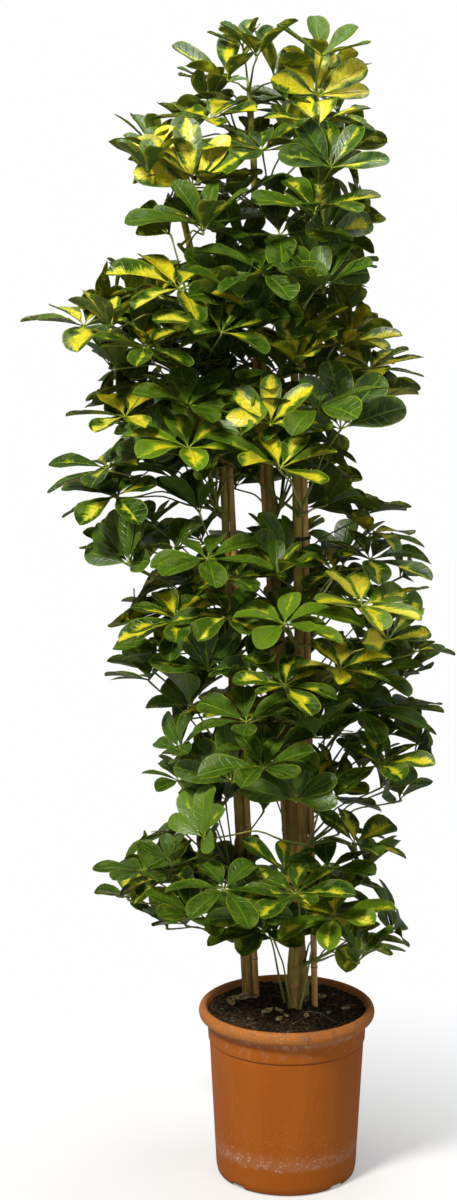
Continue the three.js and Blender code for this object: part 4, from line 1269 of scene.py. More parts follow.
@dataclass(frozen=True)
class SmallLeaves:
    """The smaller leaves between the frame's, and those that the photograph shows on stalks of their own."""

    random: np.random.Generator
    gilding: Gilding
    tries: int = 40
    rooted: tuple[float, float] = (0.3, 0.95)
    swing: float = 1.9
    reach: tuple[float, float] = (0.035, 0.165)
    rise: tuple[float, float] = (-0.015, 0.125)
    size: tuple[float, float] = (0.068, 0.092)
    size_shares: tuple[tuple[float, float], ...] = ((0.6, 0.86), (1.45, 1.0), (math.inf, 0.86))
    apart: tuple[tuple[float, float], ...] = ((1.05, 0.064), (1.35, 0.049), (math.inf, 0.055))
    highest: float = 1.722
    held_to: float = 0.9
    front: float = -0.05
    front_left_out: float = 0.7
    fans: float = 0.4
    fan: Habit = Habit(0.5, 0.8, (5, 7.5), (0.2, 0.5), 3.9)
    whole: Habit = Habit(1.0, 0.12, (5, 8.5), (0.3, 0.85))
    own_fan_cup: float = 0.35
    own_whole_cup: float = 0.55
    stalk_bow: float = 0.1
    turn_slack: float = 0.14
    rise_slack: float = 0.16
    inward_rise: float = 0.3
    inward_loss: float = 0.22
    lengths: tuple[float, float] = (0.87, 1.13)
    half_breadths: tuple[float, float] = (0.195, 0.235)
    arch: float = 0.05

    def filler(self, shoot: list[Vector], crown: Crown) -> Leaf | None:
        """A smaller leaf on a shoot, where the frame's leaves have room between them.

        Args:
            shoot: The shoot's path.
            crown: What the leaf has to keep within and apart from.

        Returns:
            The leaf, or None where no try finds room.
        """
        toss = self.random.uniform
        lean = shoot[-1] - shoot[0]
        facing = math.atan2(lean.y, lean.x)
        for _ in range(self.tries):
            root = shoot[0].lerp(shoot[-1], toss(*self.rooted))
            bearing, reach = facing + toss(-self.swing, self.swing), toss(*self.reach)
            away = Vector((math.cos(bearing), math.sin(bearing), 0))
            hub = root + away * reach + Vector((0, 0, toss(*self.rise)))
            if self.unwanted(hub, crown):
                continue
            habit = self.fan if toss(0, 1) < self.fans else self.whole
            up = Vector((toss(-0.2, 0.2), toss(-0.25, 0.15), habit.upright)) + away * habit.lean
            up.normalize()
            size = toss(*self.size) * by_height(hub.z, self.size_shares)
            ahead = Vector((0, 0, 1)) if habit is self.fan else away
            leaflets = self.whorl(up, ahead, int(toss(*habit.leaflets)), size, toss(*habit.cup), habit.spread)
            tips = [hub + leaflet[0] * leaflet[2] for leaflet in leaflets]
            inside = all(crown.holds(hub.lerp(tip, self.held_to)) for tip in tips)
            if inside and max(tip.z for tip in tips) < self.highest:
                return Leaf(hub, up, leaflets, self.bowed(root, hub, up))
        return None

    def unwanted(self, hub: Vector, crown: Crown) -> bool:
        """Whether no leaf should have its hub here.

        Args:
            hub: The hub.
            crown: What the leaf has to keep apart from.

        Returns:
            True where it is too near another, hides a golden leaf, or is one of those left out in front.
        """
        if crown.room(hub) < by_height(hub.z, self.apart):
            return True
        if hub.y < self.front and self.random.uniform(0, 1) < self.front_left_out:
            return True
        return self.gilding.hidden_by(hub)

    def own(self, own: OwnLeaf) -> Leaf:
        """A leaf on a stalk of its own, as the photograph shows it.

        Args:
            own: Where it grows and how it stands.

        Returns:
            The leaf.
        """
        root, hub, up = Vector(own.root), Vector(own.hub), Vector(own.faces).normalized()
        if own.spread < TAU:
            ahead, cup = Vector((up.x, 0, 1)), self.own_fan_cup
        else:
            ahead, cup = Vector((up.x, up.y, 0)), self.own_whole_cup
        leaflets = self.whorl(up, ahead, own.leaflets, own.size, cup, own.spread)
        return Leaf(hub, up, leaflets, self.bowed(root, hub, up))

    def bowed(self, root: Vector, hub: Vector, up: Vector) -> list[Vector]:
        """The points of a stalk that bows up a little between its root and its hub.

        Args:
            root: Where it grows.
            hub: Where its leaflets meet.
            up: The way the leaf faces.

        Returns:
            The root, the bow's top, the stalk's end below the hub, and the hub.
        """
        bow = (root + hub) / 2 + Vector((0, 0, self.stalk_bow * (hub - root).length))
        return [root, bow, hub - up * 3 * MM, hub]

    def whorl(
        self, up: Vector, away: Vector, count: int, size: float, cup: float, spread: float
    ) -> list[tuple[Vector, Vector, float, float, float]]:
        """The leaflets of a leaf: spread evenly round its hub, each a little out of turn.

        Args:
            up: The way the leaf faces.
            away: The way it leans out.
            count: How many leaflets it has.
            size: A leaflet's length.
            cup: How far the leaflets rise, in radians.
            spread: The angle that they share, all round or less in a fan.

        Returns:
            Each leaflet's direction, its sideways direction, length, half breadth and arch.
        """
        toss = self.random.uniform
        outward = (away - up * away.dot(up)).normalized()
        across = up.cross(outward)
        leaflets = []
        for k in range(count):
            turn = spread * ((k + 0.5) / count - 0.5) + toss(-self.turn_slack, self.turn_slack)
            inward = max(0.0, -math.cos(turn))
            rise = cup + self.inward_rise * inward + toss(-self.rise_slack, self.rise_slack)
            level = outward * math.cos(turn) + across * math.sin(turn)
            ahead = (level * math.cos(rise) + up * math.sin(rise)).normalized()
            length = size * toss(*self.lengths) * (1 - self.inward_loss * inward)
            sideways, breadth = up.cross(level).normalized(), length * toss(*self.half_breadths)
            leaflets.append((ahead, sideways, length, breadth, self.arch * length))
        return leaflets


LOW_SPRAY = "spray_right_front_14"
LEFT_FAN = "spray_middle_front_3"
TOP_FAN = "spray_right_front_1"


@dataclass
class Foliage:
    """All sprays of leaves, drawn over the leaves of the frame, with smaller ones between them.

    Girths are in millimetres from foot to end. Each leaflet's spans are for what chance gives it.
    """

    palette: Palette
    random: np.random.Generator
    gilding: Gilding
    laps: int = 6
    stalk_girths: tuple[float, ...] = (2.6, 1.9, 1.35, 1.25, 1.3, 1.9, 2.1)
    stalk_sides: int = 6
    stalk_sag: float = 0.02
    stalk_wander: float = 0.024
    shoot_girths: tuple[float, float] = (4.0, 2.6)
    shoot_gold: float = 0.1
    breadths: tuple[float, float] = (0.93, 1.08)
    arches: tuple[float, float] = (-0.009, 0.021)
    folds: tuple[float, float] = (0.14, 0.44)
    twists: tuple[float, float] = (-0.45, 0.45)
    droops: tuple[float, float] = (-0.042, 0.098)
    ripple: float = 0.07
    gold_spread: tuple[float, float] = (0.65, 1.35)
    own_leaves: tuple[OwnLeaf, ...] = (
        OwnLeaf(LOW_SPRAY, (0.006, -0.010, 0.262), (-0.019, -0.036, 0.375), (0.05, -0.6, 0.8), 5, 0.078, 3.8),
        OwnLeaf(LOW_SPRAY, (0.019, -0.012, 0.256), (0.054, -0.042, 0.425), (0.2, -0.4, 1.0), 7, 0.080),
        OwnLeaf(LOW_SPRAY, (-0.003, -0.006, 0.268), (-0.043, -0.020, 0.420), (-0.3, -0.2, 1.0), 6, 0.066),
        OwnLeaf(LOW_SPRAY, (0.020, 0.004, 0.262), (0.080, 0.020, 0.372), (0.35, 0.0, 1.0), 5, 0.060),
        OwnLeaf(LEFT_FAN, (-0.050, 0.036, 1.452), (-0.137, -0.062, 1.478), (-0.25, -0.9, 0.5), 6, 0.098, 3.4),
        OwnLeaf(TOP_FAN, (0.031, 0.000, 1.560), (0.037, -0.026, 1.602), (0.15, -0.85, 0.5), 6, 0.074, 3.5),
    )

    def build(self, stems: dict[str, list[Vector]]) -> None:
        """Builds one piece for each spray node.

        Args:
            stems: Each stem's middle line by side.
        """
        reader = LeafReader()
        sprays, shoots = {}, {}
        for node in sorted(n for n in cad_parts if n.startswith("spray_")):
            sprays[node], rest = reader.read(node)
            shoots[node] = reader.shoot(rest, stems[node.split("_")[1]])
        self.fill(sprays, shoots)
        blade, grower = Blade().build(), LeafGrower()
        for node, leaves in sprays.items():
            self.spray(node, leaves, shoots[node], blade, grower)
        bpy.data.objects.remove(blade)

    def fill(self, sprays: dict[str, list[Leaf]], shoots: dict[str, list[Vector]]) -> None:
        """Adds the photograph's own leaves and the smaller ones between the frame's.

        Args:
            sprays: Each spray's leaves, which are added to.
            shoots: Each spray's shoot.
        """
        small = SmallLeaves(self.random, self.gilding)
        crown = Crown(leaf for leaves in sprays.values() for leaf in leaves)
        for own in self.own_leaves:
            sprays[own.spray].append(small.own(own))
            crown.hubs.append(Vector(own.hub))
        count = len(crown.hubs)
        for _ in range(self.laps):
            for node, leaves in sprays.items():
                leaf = small.filler(shoots[node], crown)
                if leaf:
                    leaves.append(leaf)
                    crown.hubs.append(leaf.hub)
        log.info("%d leaves of the frame, %d between them", count, len(crown.hubs) - count)

    def spray(
        self, node: str, leaves: list[Leaf], shoot: list[Vector], blade: bpy.types.Object, grower: LeafGrower
    ) -> None:
        """Draws one spray: its leaflets, its leaf stalks and the shoot that carries them.

        Args:
            node: The spray node's name.
            leaves: Its leaves.
            shoot: The shoot's path.
            blade: The blade that every leaflet is drawn from.
            grower: What draws the leaflets and the stalks.
        """
        carried = ("hub", "ahead", "sideways", "size", "lilt", "seed", "gold", "fresh")
        rows: dict[str, list[Any]] = {name: [] for name in carried}
        points, edges, girth, pale = [], [], [], []
        for leaf in leaves:
            gold, fresh = self.gilding.on(leaf.hub)
            for ahead, sideways, length, breadth, arch in leaf.leaflets:
                chance = self.random.random(6)
                bent = arch + length * between(self.arches, chance[1])
                lilt = [between(span, c) for span, c in zip((self.folds, self.twists, self.droops), chance[2:5])]
                rows["hub"].append(leaf.hub)
                rows["ahead"].append(ahead)
                rows["sideways"].append(sideways)
                rows["size"].append((length, breadth * between(self.breadths, chance[0]), bent))
                rows["lilt"].append(lilt)
                rows["seed"].append(self.random.random(3))
                rows["gold"].append(gold * between(self.gold_spread, chance[5]))
                rows["fresh"].append(fresh)
            path = through(self.eased_stalk(leaf), 3)
            edges += chained(len(points), len(path))
            points += path
            steps = np.linspace(0, len(self.stalk_girths) - 1, len(path))
            girth += list(np.interp(steps, range(len(self.stalk_girths)), self.stalk_girths) * MM)
            pale += [gold] * len(path)
        path = through(shoot, 3)
        edges += chained(len(points), len(path))
        points += path
        girth += list(np.linspace(*self.shoot_girths, len(path)) * MM)
        pale += [self.shoot_gold] * len(path)
        count, leaflets = len(points), len(rows["hub"])
        tables = {k: np.concatenate([np.zeros((count, *np.shape(v[0]))), np.array(v)]) for k, v in rows.items()}
        tables["gold"][:count] = pale
        tables["girth"] = girth + [0.0] * leaflets
        tables["leaflet"] = [0.0] * count + [1.0] * leaflets
        host = new_object(new_mesh(node + "_leaves", points + rows["hub"], edges, **tables))
        finishes = {"leaf": self.palette.leaf, "stalk": self.palette.stalk}
        sizes = {"stalk_sides": self.stalk_sides, "ripple": self.ripple}
        piece = grow(host, grower.tree, blade=blade, **finishes, **sizes)
        for name in ("hub", "ahead", "sideways", "size", "lilt", "place", "girth", "leaflet"):
            if name in piece.data.attributes:
                piece.data.attributes.remove(piece.data.attributes[name])
        show(piece, "foliage", node)

    def eased_stalk(self, leaf: Leaf) -> list[Vector]:
        """A leaf stalk's path, with a little sag and wander between its shoot and its hub.

        Args:
            leaf: The leaf.

        Returns:
            The path.
        """
        root, mid, foot, hub = leaf.stalk
        reach = (hub - root).length
        mid = mid + Vector(self.random.uniform(-self.stalk_wander, self.stalk_wander, 3)) * reach
        sagging = (root + mid) / 2 - Vector((0, 0, self.stalk_sag * reach))
        return [root, sagging, mid, (mid + foot) / 2, foot, hub + leaf.up * 0.4 * MM]


# Poles


@dataclass(frozen=True)
class Pole:
    """A cane or a stem, drawn along the middle line of its CAD node."""

    node: str
    step: float
    sides: int
    ring_gap: float = 0.015

    def line(self) -> list[tuple[Vector, float]]:
        """The middle line and radius at each ring of the CAD node.

        Returns:
            The middle and radius of each ring, from the foot up.
        """
        corners = sorted((v.co.copy() for v in merged(self.node).verts), key=lambda p: p.z)
        groups: list[list[Vector]] = [[corners[0]]]
        for corner in corners[1:]:
            if corner.z - groups[-1][-1].z > self.ring_gap:
                groups.append([])
            groups[-1].append(corner)
        line = []
        for group in groups:
            centre = middle(group)
            line.append((centre, float(np.mean([math.hypot(p.x - centre.x, p.y - centre.y) for p in group]))))
        return line

    def path(self) -> tuple[list[Vector], np.ndarray]:
        """The middle line and radius in small steps.

        Returns:
            The points, and the radius at each.
        """
        line = self.line()
        count = max(2, round((line[1][0] - line[0][0]).length / self.step))
        path = through([p for p, _ in line], count)
        heights = [p.z for p, _ in line]
        return path, np.interp([p.z for p in path], heights, [r for _, r in line])


@dataclass(frozen=True)
class Cane(Pole):
    """A bamboo stake with ringed knuckles and a sawn top."""

    step: float = 4 * MM
    sides: int = 16
    radius: float = 4.75 * MM
    uneven: float = 0.02
    knuckle_rise: float = 0.75 * MM
    knuckle_half: float = 2.6 * MM
    knuckle_gap: float = 0.03
    ring_half: float = 3.2 * MM
    top_share: float = 0.9

    def build(self, sweeper: Sweeper, finish: bpy.types.Material) -> None:
        """Draws the cane and shows it for its node.

        Args:
            sweeper: What sweeps its bar.
            finish: Its material.
        """
        path, _ = self.path()
        surface = merged(self.node)
        wide = [v.co.z for v in surface.verts if self.is_knuckle(v.co, path)]
        knuckles = sorted({round(z, 2) for z in wide})
        knuckles = [z for k, z in enumerate(knuckles) if not k or z - knuckles[k - 1] > self.knuckle_gap]
        girth, scar = [], []
        for point in path:
            away = min((abs(point.z - z) for z in knuckles), default=math.inf)
            knuckle = self.knuckle_rise * math.exp(-((away / self.knuckle_half) ** 2))
            girth.append(self.radius * (1 + self.uneven * noise.noise(point * 30)) + knuckle)
            scar.append(math.exp(-((away / self.ring_half) ** 2)))
        girth[-1] *= self.top_share
        piece = sweeper.sweep(self.node + "_bamboo", [path], [girth], finish, self.sides, scar=scar)
        show(piece, "bamboo", self.node)

    def is_knuckle(self, corner: Vector, path: list[Vector]) -> bool:
        """Whether a corner of the CAD node stands out from the cane's plain thickness."""
        centre = min(path, key=lambda p: abs(p.z - corner.z))
        return math.hypot(corner.x - centre.x, corner.y - centre.y) > self.radius + 0.2 * MM


@dataclass(frozen=True)
class Stem(Pole):
    """A woody stem with leaf scars, brown at its foot and yellow-green at its top."""

    step: float = 5 * MM
    sides: int = 14
    green_from: float = 0.75
    green_at: float = 1.45
    swelling: float = 1.03
    thicker: float = 0.5 * MM
    scar_gap: float = 0.031
    scar_half: float = 2.2 * MM
    scar_rise: float = 0.3 * MM

    def build(self, sweeper: Sweeper, finish: bpy.types.Material) -> None:
        """Draws the stem and shows it for its node.

        Args:
            sweeper: What sweeps its bar.
            finish: Its material.
        """
        path, radii = self.path()
        girth, scar, youth = [], [], []
        for point, radius in zip(path, radii):
            turn = point.z / self.scar_gap + 1.3 * noise.noise(Vector((0, 0, point.z * 9)))
            ring = math.exp(-(((turn % 1.0 - 0.5) * self.scar_gap / self.scar_half) ** 2))
            lump = noise.noise(point * 22) * 0.08 + noise.noise(point * 60) * 0.05
            girth.append(radius * (self.swelling + lump) + self.scar_rise * ring + self.thicker)
            scar.append(ring * (0.5 + noise.noise(point * 60)))
            share = (point.z - self.green_from) / (self.green_at - self.green_from)
            youth.append(clamped(share + 0.25 * noise.noise(point * 14)))
        piece = sweeper.sweep(self.node + "_bark", [path], [girth], finish, self.sides, scar=scar, youth=youth)
        show(piece, "bark", self.node)


@dataclass(frozen=True)
class Tie:
    """A soft band wound twice round a cane and its stem, with a twisted knot."""

    node: str
    thickness: float = 1.3 * MM
    rise: float = 2.4 * MM
    laps: int = 2
    corner_gap: float = 0.06
    knot_ahead: float = 1.2 * MM
    bead: tuple[tuple[float, float], ...] = ((-2.6, 0.6), (-1.8, 1.9), (0, 2.3), (1.8, 1.9), (2.6, 0.6))
    tail: tuple[float, ...] = (0, 0.35, 0.7, 1)
    tail_across: float = 5 * MM
    tail_ahead: float = 3 * MM
    tail_up: float = 6 * MM
    tail_drop: float = 9 * MM
    tail_share: float = 0.8

    def build(self, sweeper: Sweeper, finish: bpy.types.Material) -> None:
        """Draws the band along the CAD tie's own loop and shows it for its node.

        Args:
            sweeper: What sweeps its bar.
            finish: Its material.
        """
        corners = [v.co.copy() for v in merged(self.node).verts]
        centre = middle(corners)

        def turn(corner: Vector) -> float:
            """A corner's turn round the loop's middle."""
            return math.atan2(corner.y - centre.y, corner.x - centre.x)

        groups: list[list[Vector]] = []
        for corner in sorted(corners, key=turn):
            if not groups or turn(corner) - turn(groups[-1][-1]) > self.corner_gap:
                groups.append([])
            groups[-1].append(corner)
        loop = [middle(group) for group in groups]
        smooth = through(loop + [loop[0]], 3)[:-1]
        path = []
        for k in range(self.laps * len(smooth)):
            point = smooth[k % len(smooth)]
            path.append(Vector((point.x, point.y, centre.z + self.rise * (k / len(smooth) - 1))))
        knot = min(path, key=lambda p: p.y) + Vector((0, -self.knot_ahead, 0))
        bead = [knot + Vector((0, 0, height * MM)) for height, _ in self.bead]
        tail_girth = [self.thickness * self.tail_share] * len(self.tail)
        girths = [[self.thickness] * len(path), tail_girth, tail_girth, [girth * MM for _, girth in self.bead]]
        paths = [path, self.tail_from(knot, -1), self.tail_from(knot, 1), bead]
        piece = sweeper.sweep(self.node + "_band", paths, girths, finish, 8)
        show(piece, "tie", self.node)

    def tail_from(self, knot: Vector, way: int) -> list[Vector]:
        """One of the band's loose ends.

        Args:
            knot: Where it starts.
            way: The side that it goes to, -1 or 1.

        Returns:
            Its path.
        """
        out = Vector((way * self.tail_across, -self.tail_ahead, way * self.tail_up))
        return [knot + out * s - Vector((0, 0, self.tail_drop * s * s)) for s in self.tail]


# Pot and soil


@dataclass(frozen=True)
class Pot:
    """A round nursery pot with a rolled rim, a collar with a groove under it, and a notched foot."""

    foot: float = 0.106
    top: float = 0.1195
    height: float = 0.265
    wall: float = 0.003
    sides: int = 144
    round_cut: float = 2.2 * MM
    foot_reach: tuple[float, float, float] = (0.0845, 0.109, 0.011)
    notches: int = 4
    notch_width: float = 0.032
    notch_height: float = 0.006
    notch_flat: float = 0.55

    def wall_at(self, z: float) -> float:
        """The outer radius of the plain wall at a height."""
        return self.foot + (self.top - self.foot) * z / self.height

    def build(self, finish: bpy.types.Material) -> None:
        """Turns the pot, lifts the notches into its foot, and shows it for its node.

        Args:
            finish: Its material.
        """
        w, inner = self.wall_at, self.wall
        profile = [
            # Underside: the pad in the middle, the hollow round it and the foot's ring
            (0, 0), (0.030, 0), (0.034, 0.005), (0.084, 0.005), (0.088, 0), (0.1005, 0), (0.1045, 0.0018),
            # Wall, groove and collar
            (w(0.012), 0.0125), (w(0.06), 0.06), (w(0.12), 0.12), (w(0.18), 0.18), (w(0.2095), 0.2095),
            (w(0.2105) - 0.0007, 0.2108), (w(0.212) + 0.0018, 0.2128), (w(0.22) + 0.0016, 0.22),
            (w(0.245) + 0.0016, 0.2445),
            # Rolled rim
            (0.1285, 0.2448), (0.1322, 0.2488), (0.1331, 0.2555), (0.1308, 0.2618), (0.1262, 0.265),
            (0.1215, 0.2632),
            # Inside
            (w(0.245) - inner, 0.2448), (w(0.12) - inner, 0.12), (w(0.008) - inner, 0.008), (0, 0.008),
        ]
        surface = lathe(rounded(profile, self.round_cut), self.sides)
        for vertex in surface.verts:
            self.lift(vertex)
        show(turned_out("pot_shell", surface, finish), "terracotta_plastic", "pot")

    def lift(self, vertex: bmesh.types.BMVert) -> None:
        """Raises a foot corner that lies in a notch.

        Args:
            vertex: The corner.
        """
        radius, z = math.hypot(vertex.co.x, vertex.co.y), vertex.co.z
        inner, outer, height = self.foot_reach
        if not inner < radius < outer or z > height:
            return
        gap = TAU / self.notches
        turn = math.atan2(vertex.co.y, vertex.co.x) - gap / 2
        away = abs((turn + gap / 2) % gap - gap / 2) * radius * 2 / self.notch_width
        share = 1 - clamped((away - self.notch_flat) / (1 - self.notch_flat))
        vertex.co.z = max(z, self.notch_height * share * share * (3 - 2 * share))


class Scrap(Enum):
    """What lies on the soil, with the name of its material in the palette."""

    CRUMB = "soil"
    CHIP = "chip"
    MOSS = "moss"


@dataclass(frozen=True)
class Strewing:
    """How one kind of scrap is strewn: how densely, how large, how flat, and in patches or not."""

    scrap: Scrap
    density: float
    small: float
    large: float
    flatness: float
    seed: int
    patchy: float = 1.0
    patch_scale: float = 12.0


class Strewer:
    """A geometry tree that strews a scrap at random over the upper face of a body."""

    def __init__(self) -> None:
        """Builds the tree."""
        ins = {
            "Geometry": ("Geometry", None), "Scrap": ("Object", None), "Finish": ("Material", None),
            "Density": ("Float", 1000.0), "Small": ("Float", 0.001), "Large": ("Float", 0.004), "Seed": ("Int", 1),
            "Patchy": ("Float", 1.0), "Patch Scale": ("Float", 12.0), "Above": ("Float", 0.2),
        }
        g, i, o = Kit.start("strewn_scraps", "GeometryNodeTree", ins, {"Geometry": "Geometry"})
        upward = g.split(g.out(g.node("GeometryNodeInputNormal")))[2]
        place = g.out(g.node("GeometryNodeInputPosition"))
        height, patchy = g.split(place)[2], Wire(g, i.outputs["Patchy"])
        patches = g.ease(g.noise(place, i.outputs["Patch Scale"], 2.0), 0.45, 0.60)
        open_face = g.math("GREATER_THAN", upward, 0.5) * g.math("GREATER_THAN", height, i.outputs["Above"])
        density = open_face * Wire(g, i.outputs["Density"]) * ((1.0 - patchy) + patches * patchy)
        feeds = {"Mesh": i.outputs["Geometry"], "Density": density, "Seed": i.outputs["Seed"]}
        points = g.node("GeometryNodeDistributePointsOnFaces", feeds, distribute_method="RANDOM")
        scrap = g.node("GeometryNodeObjectInfo", {"Object": i.outputs["Scrap"]})
        size = self.chance(g, i, "FLOAT", i.outputs["Small"], i.outputs["Large"])
        turn = self.chance(g, i, "FLOAT_VECTOR", (-0.5, -0.5, 0), (0.5, 0.5, TAU))
        feeds = {"Points": points.outputs[0], "Instance": scrap.outputs["Geometry"]}
        feeds |= {"Rotation": turn, "Scale": size}
        strewn = g.realized(g.node("GeometryNodeInstanceOnPoints", feeds))
        g.feed(o.inputs[0], g.out(g.dressed(strewn, i.outputs["Finish"])))
        self.tree = g.tree

    @staticmethod
    def chance(g: Graph, i: bpy.types.Node, kind: str, low: Any, high: Any) -> Wire:
        """A random value for each scrap.

        Args:
            g: The tree.
            i: Its input node, which has the seed.
            kind: Whether it is a number or a vector.
            low: Its least value.
            high: Its greatest value.

        Returns:
            The wire of the value.
        """
        node = g.node("FunctionNodeRandomValue", {"Seed": i.outputs["Seed"]}, data_type=kind)
        ends = [s for s in node.inputs if s.enabled and s.name in ("Min", "Max")]
        for socket, value in zip(ends, (low, high)):
            g.feed(socket, value)
        return Wire(g, [s for s in node.outputs if s.enabled][0])


@dataclass
class Soil:
    """Potting soil with crumbs, pale chips, moss, dry leaves and roots on it."""

    palette: Palette
    pot: Pot
    level: float = 0.256
    mouth: float = 0.1187
    neck: float = 0.1151
    neck_height: float = 0.2448
    bottom: float = 0.0085
    clearance: float = 0.4 * MM
    heap: float = 3 * MM
    heap_reach: float = 0.115
    lumps: tuple[tuple[float, float], ...] = ((28, 3.2 * MM), (90, 1.6 * MM), (240, 0.8 * MM))
    rings: int = 30
    sides: int = 84
    strewn: tuple[Strewing, ...] = (
        Strewing(Scrap.CRUMB, 30000.0, 1.2 * MM, 4.2 * MM, 0.8, 3, patchy=0.0),
        Strewing(Scrap.CHIP, 5600.0, 0.7 * MM, 2.5 * MM, 0.6, 5),
        Strewing(Scrap.MOSS, 7600.0, 1.0 * MM, 3.2 * MM, 0.7, 9, patch_scale=34.0),
    )
    litter_seed: int = 21
    loose_roots: int = 44
    loose_to: float = 0.105
    loose_lengths: tuple[float, float] = (0.008, 0.03)
    loose_turn: float = 0.6
    loose_steps: int = 6
    loose_girths: tuple[float, float] = (0.25 * MM, 0.5 * MM)
    roots_to: float = 0.112
    leaf_lift: float = 2.2 * MM
    leaf_thickness: float = 0.4 * MM
    dry_leaves: tuple[tuple[float, float, float, float], ...] = (
        (-0.069, 0.026, 0.017, 0.3), (-0.084, 0.012, 0.013, 1.9), (-0.054, 0.038, 0.012, 2.7),
        (-0.013, -0.064, 0.008, 0.9), (-0.002, -0.047, 0.006, 2.1), (0.028, -0.050, 0.008, 1.6),
        (0.030, 0.022, 0.010, 1.4), (0.088, -0.012, 0.007, 0.2), (-0.030, -0.030, 0.011, 0.7),
        (-0.012, -0.024, 0.009, 2.3), (0.062, -0.030, 0.006, 1.2), (0.050, 0.040, 0.012, 2.9),
    )
    roots: tuple[tuple[float, tuple[tuple[float, float], ...]], ...] = (
        (0.7, ((-0.017, -0.037), (-0.012, -0.052), (-0.004, -0.070))),
        (0.7, ((0.006, -0.072), (0.015, -0.060), (0.025, -0.046))),
        (0.8, ((0.019, -0.025), (0.034, -0.022), (0.049, -0.029), (0.066, -0.054), (0.084, -0.058))),
        (0.7, ((0.086, -0.012), (0.096, 0.006), (0.107, 0.018))),
        (0.6, ((0.090, 0.014), (0.097, 0.004), (0.101, -0.012))),
        (0.6, ((0.084, 0.004), (0.096, 0.008), (0.106, 0.004))),
    )

    def height_at(self, x: float, y: float) -> float:
        """The soil's height: lumpy, a little heaped in the middle and sunk at the wall.

        Args:
            x: The place from left to right.
            y: The place from front to back.

        Returns:
            The height over the floor.
        """
        place = Vector((x, y, 0))
        lumps = sum(noise.noise(place * scale) * rise for scale, rise in self.lumps)
        return self.level - MM + lumps + self.heap * (1 - (place.length / self.heap_reach) ** 2)

    def build(self, sweeper: Sweeper) -> None:
        """Builds the soil body and everything strewn on it, and shows them for the soil node.

        Args:
            sweeper: What sweeps the roots.
        """
        deep = self.pot.wall_at(self.bottom) - self.pot.wall - self.clearance
        profile = [(0, self.bottom), (deep, self.bottom), (self.neck, self.neck_height)]
        profile += [(self.mouth - 2 * self.clearance, self.level - 3 * MM)]
        profile += [(self.mouth * (self.rings - k) / self.rings, self.level) for k in range(self.rings + 1)]
        surface = lathe(profile, self.sides)
        for vertex in surface.verts:
            if vertex.co.z > self.level - MM:
                vertex.co.z = self.height_at(vertex.co.x, vertex.co.y)
        body = turned_out("soil_body", surface, self.palette.soil)
        show(body, "soil", "soil")
        strewer = Strewer()
        for strewing in self.strewn:
            self.strew(strewer, body, strewing)
        self.litter(sweeper)

    def strew(self, strewer: Strewer, body: bpy.types.Object, strewing: Strewing) -> None:
        """Strews one kind of scrap over the soil's upper face.

        Args:
            strewer: What strews it.
            body: The soil body.
            strewing: The scrap, and how it is strewn.
        """
        pattern = self.lump(strewing.flatness)
        host = new_object(body.data.copy())
        host.name = f"soil_{strewing.scrap.name.lower()}s"
        finish = getattr(self.palette, strewing.scrap.value)
        sizes = {"density": strewing.density, "small": strewing.small, "large": strewing.large}
        patches = {"patchy": strewing.patchy, "patch_scale": strewing.patch_scale}
        piece = grow(host, strewer.tree, scrap=pattern, finish=finish, seed=strewing.seed, **sizes, **patches)
        bpy.data.objects.remove(pattern)
        show(piece, "soil", "soil")

    @staticmethod
    def lump(flatness: float) -> bpy.types.Object:
        """A small uneven lump of unit size with a few faces.

        Args:
            flatness: Its height over its breadth.

        Returns:
            The lump.
        """
        surface = bmesh.new()
        bmesh.ops.create_icosphere(surface, subdivisions=1, radius=1.0)
        for vertex in surface.verts:
            vertex.co *= 0.85 + 0.5 * noise.noise(vertex.co * 1.7 + Vector((flatness * 9, 0, 0)))
            vertex.co.z *= flatness
            vertex.co.x *= 1.25
        return turned_out("lump", surface)

    def litter(self, sweeper: Sweeper) -> None:
        """Lays the roots and a few curled dry leaves that the photograph shows on the soil.

        Args:
            sweeper: What sweeps the roots.
        """
        random = np.random.default_rng(self.litter_seed)
        roots, girths = [], []
        for _ in range(self.loose_roots):
            course = self.loose_course(random)
            if course:
                roots.append(self.root(course))
                girths.append([random.uniform(*self.loose_girths) * (1 - 0.1 * k) for k in range(len(course))])
        for girth, course in self.roots:
            path = self.root(through([Vector((x, y, 0)) for x, y in course], 4))
            roots.append(path)
            girths.append([girth * MM * (1 - 0.5 * k / len(path)) for k in range(len(path))])
        show(sweeper.sweep("soil_roots", roots, girths, self.palette.chip, 6), "soil", "soil")
        leaves = bmesh.new()
        for x, y, size, turn in self.dry_leaves:
            self.dry_leaf(leaves, Vector((x, y, self.height_at(x, y) + self.leaf_lift)), size, turn)
        bmesh.ops.recalc_face_normals(leaves, faces=leaves.faces)
        piece = turned_out("soil_dry_leaves", leaves, self.palette.litter)
        thick = piece.modifiers.new("thickness", "SOLIDIFY")
        thick.thickness, thick.offset = self.leaf_thickness, 0.0
        show(piece, "soil", "soil")

    def loose_course(self, random: np.random.Generator) -> list[tuple[float, float]]:
        """The wandering course of one loose root on the flat.

        Args:
            random: Where its chance comes from.

        Returns:
            Its places, or none where it would start or end off the soil.
        """
        x, y = random.uniform(-0.1, 0.1, 2)
        if math.hypot(x, y) > self.loose_to:
            return []
        turn, length = random.uniform(0, TAU), random.uniform(*self.loose_lengths)
        course = [(x, y)]
        for _ in range(self.loose_steps):
            turn += random.uniform(-self.loose_turn, self.loose_turn)
            step = length / self.loose_steps
            x, y = x + math.cos(turn) * step, y + math.sin(turn) * step
            course.append((x, y))
        return course if math.hypot(x, y) < self.roots_to else []

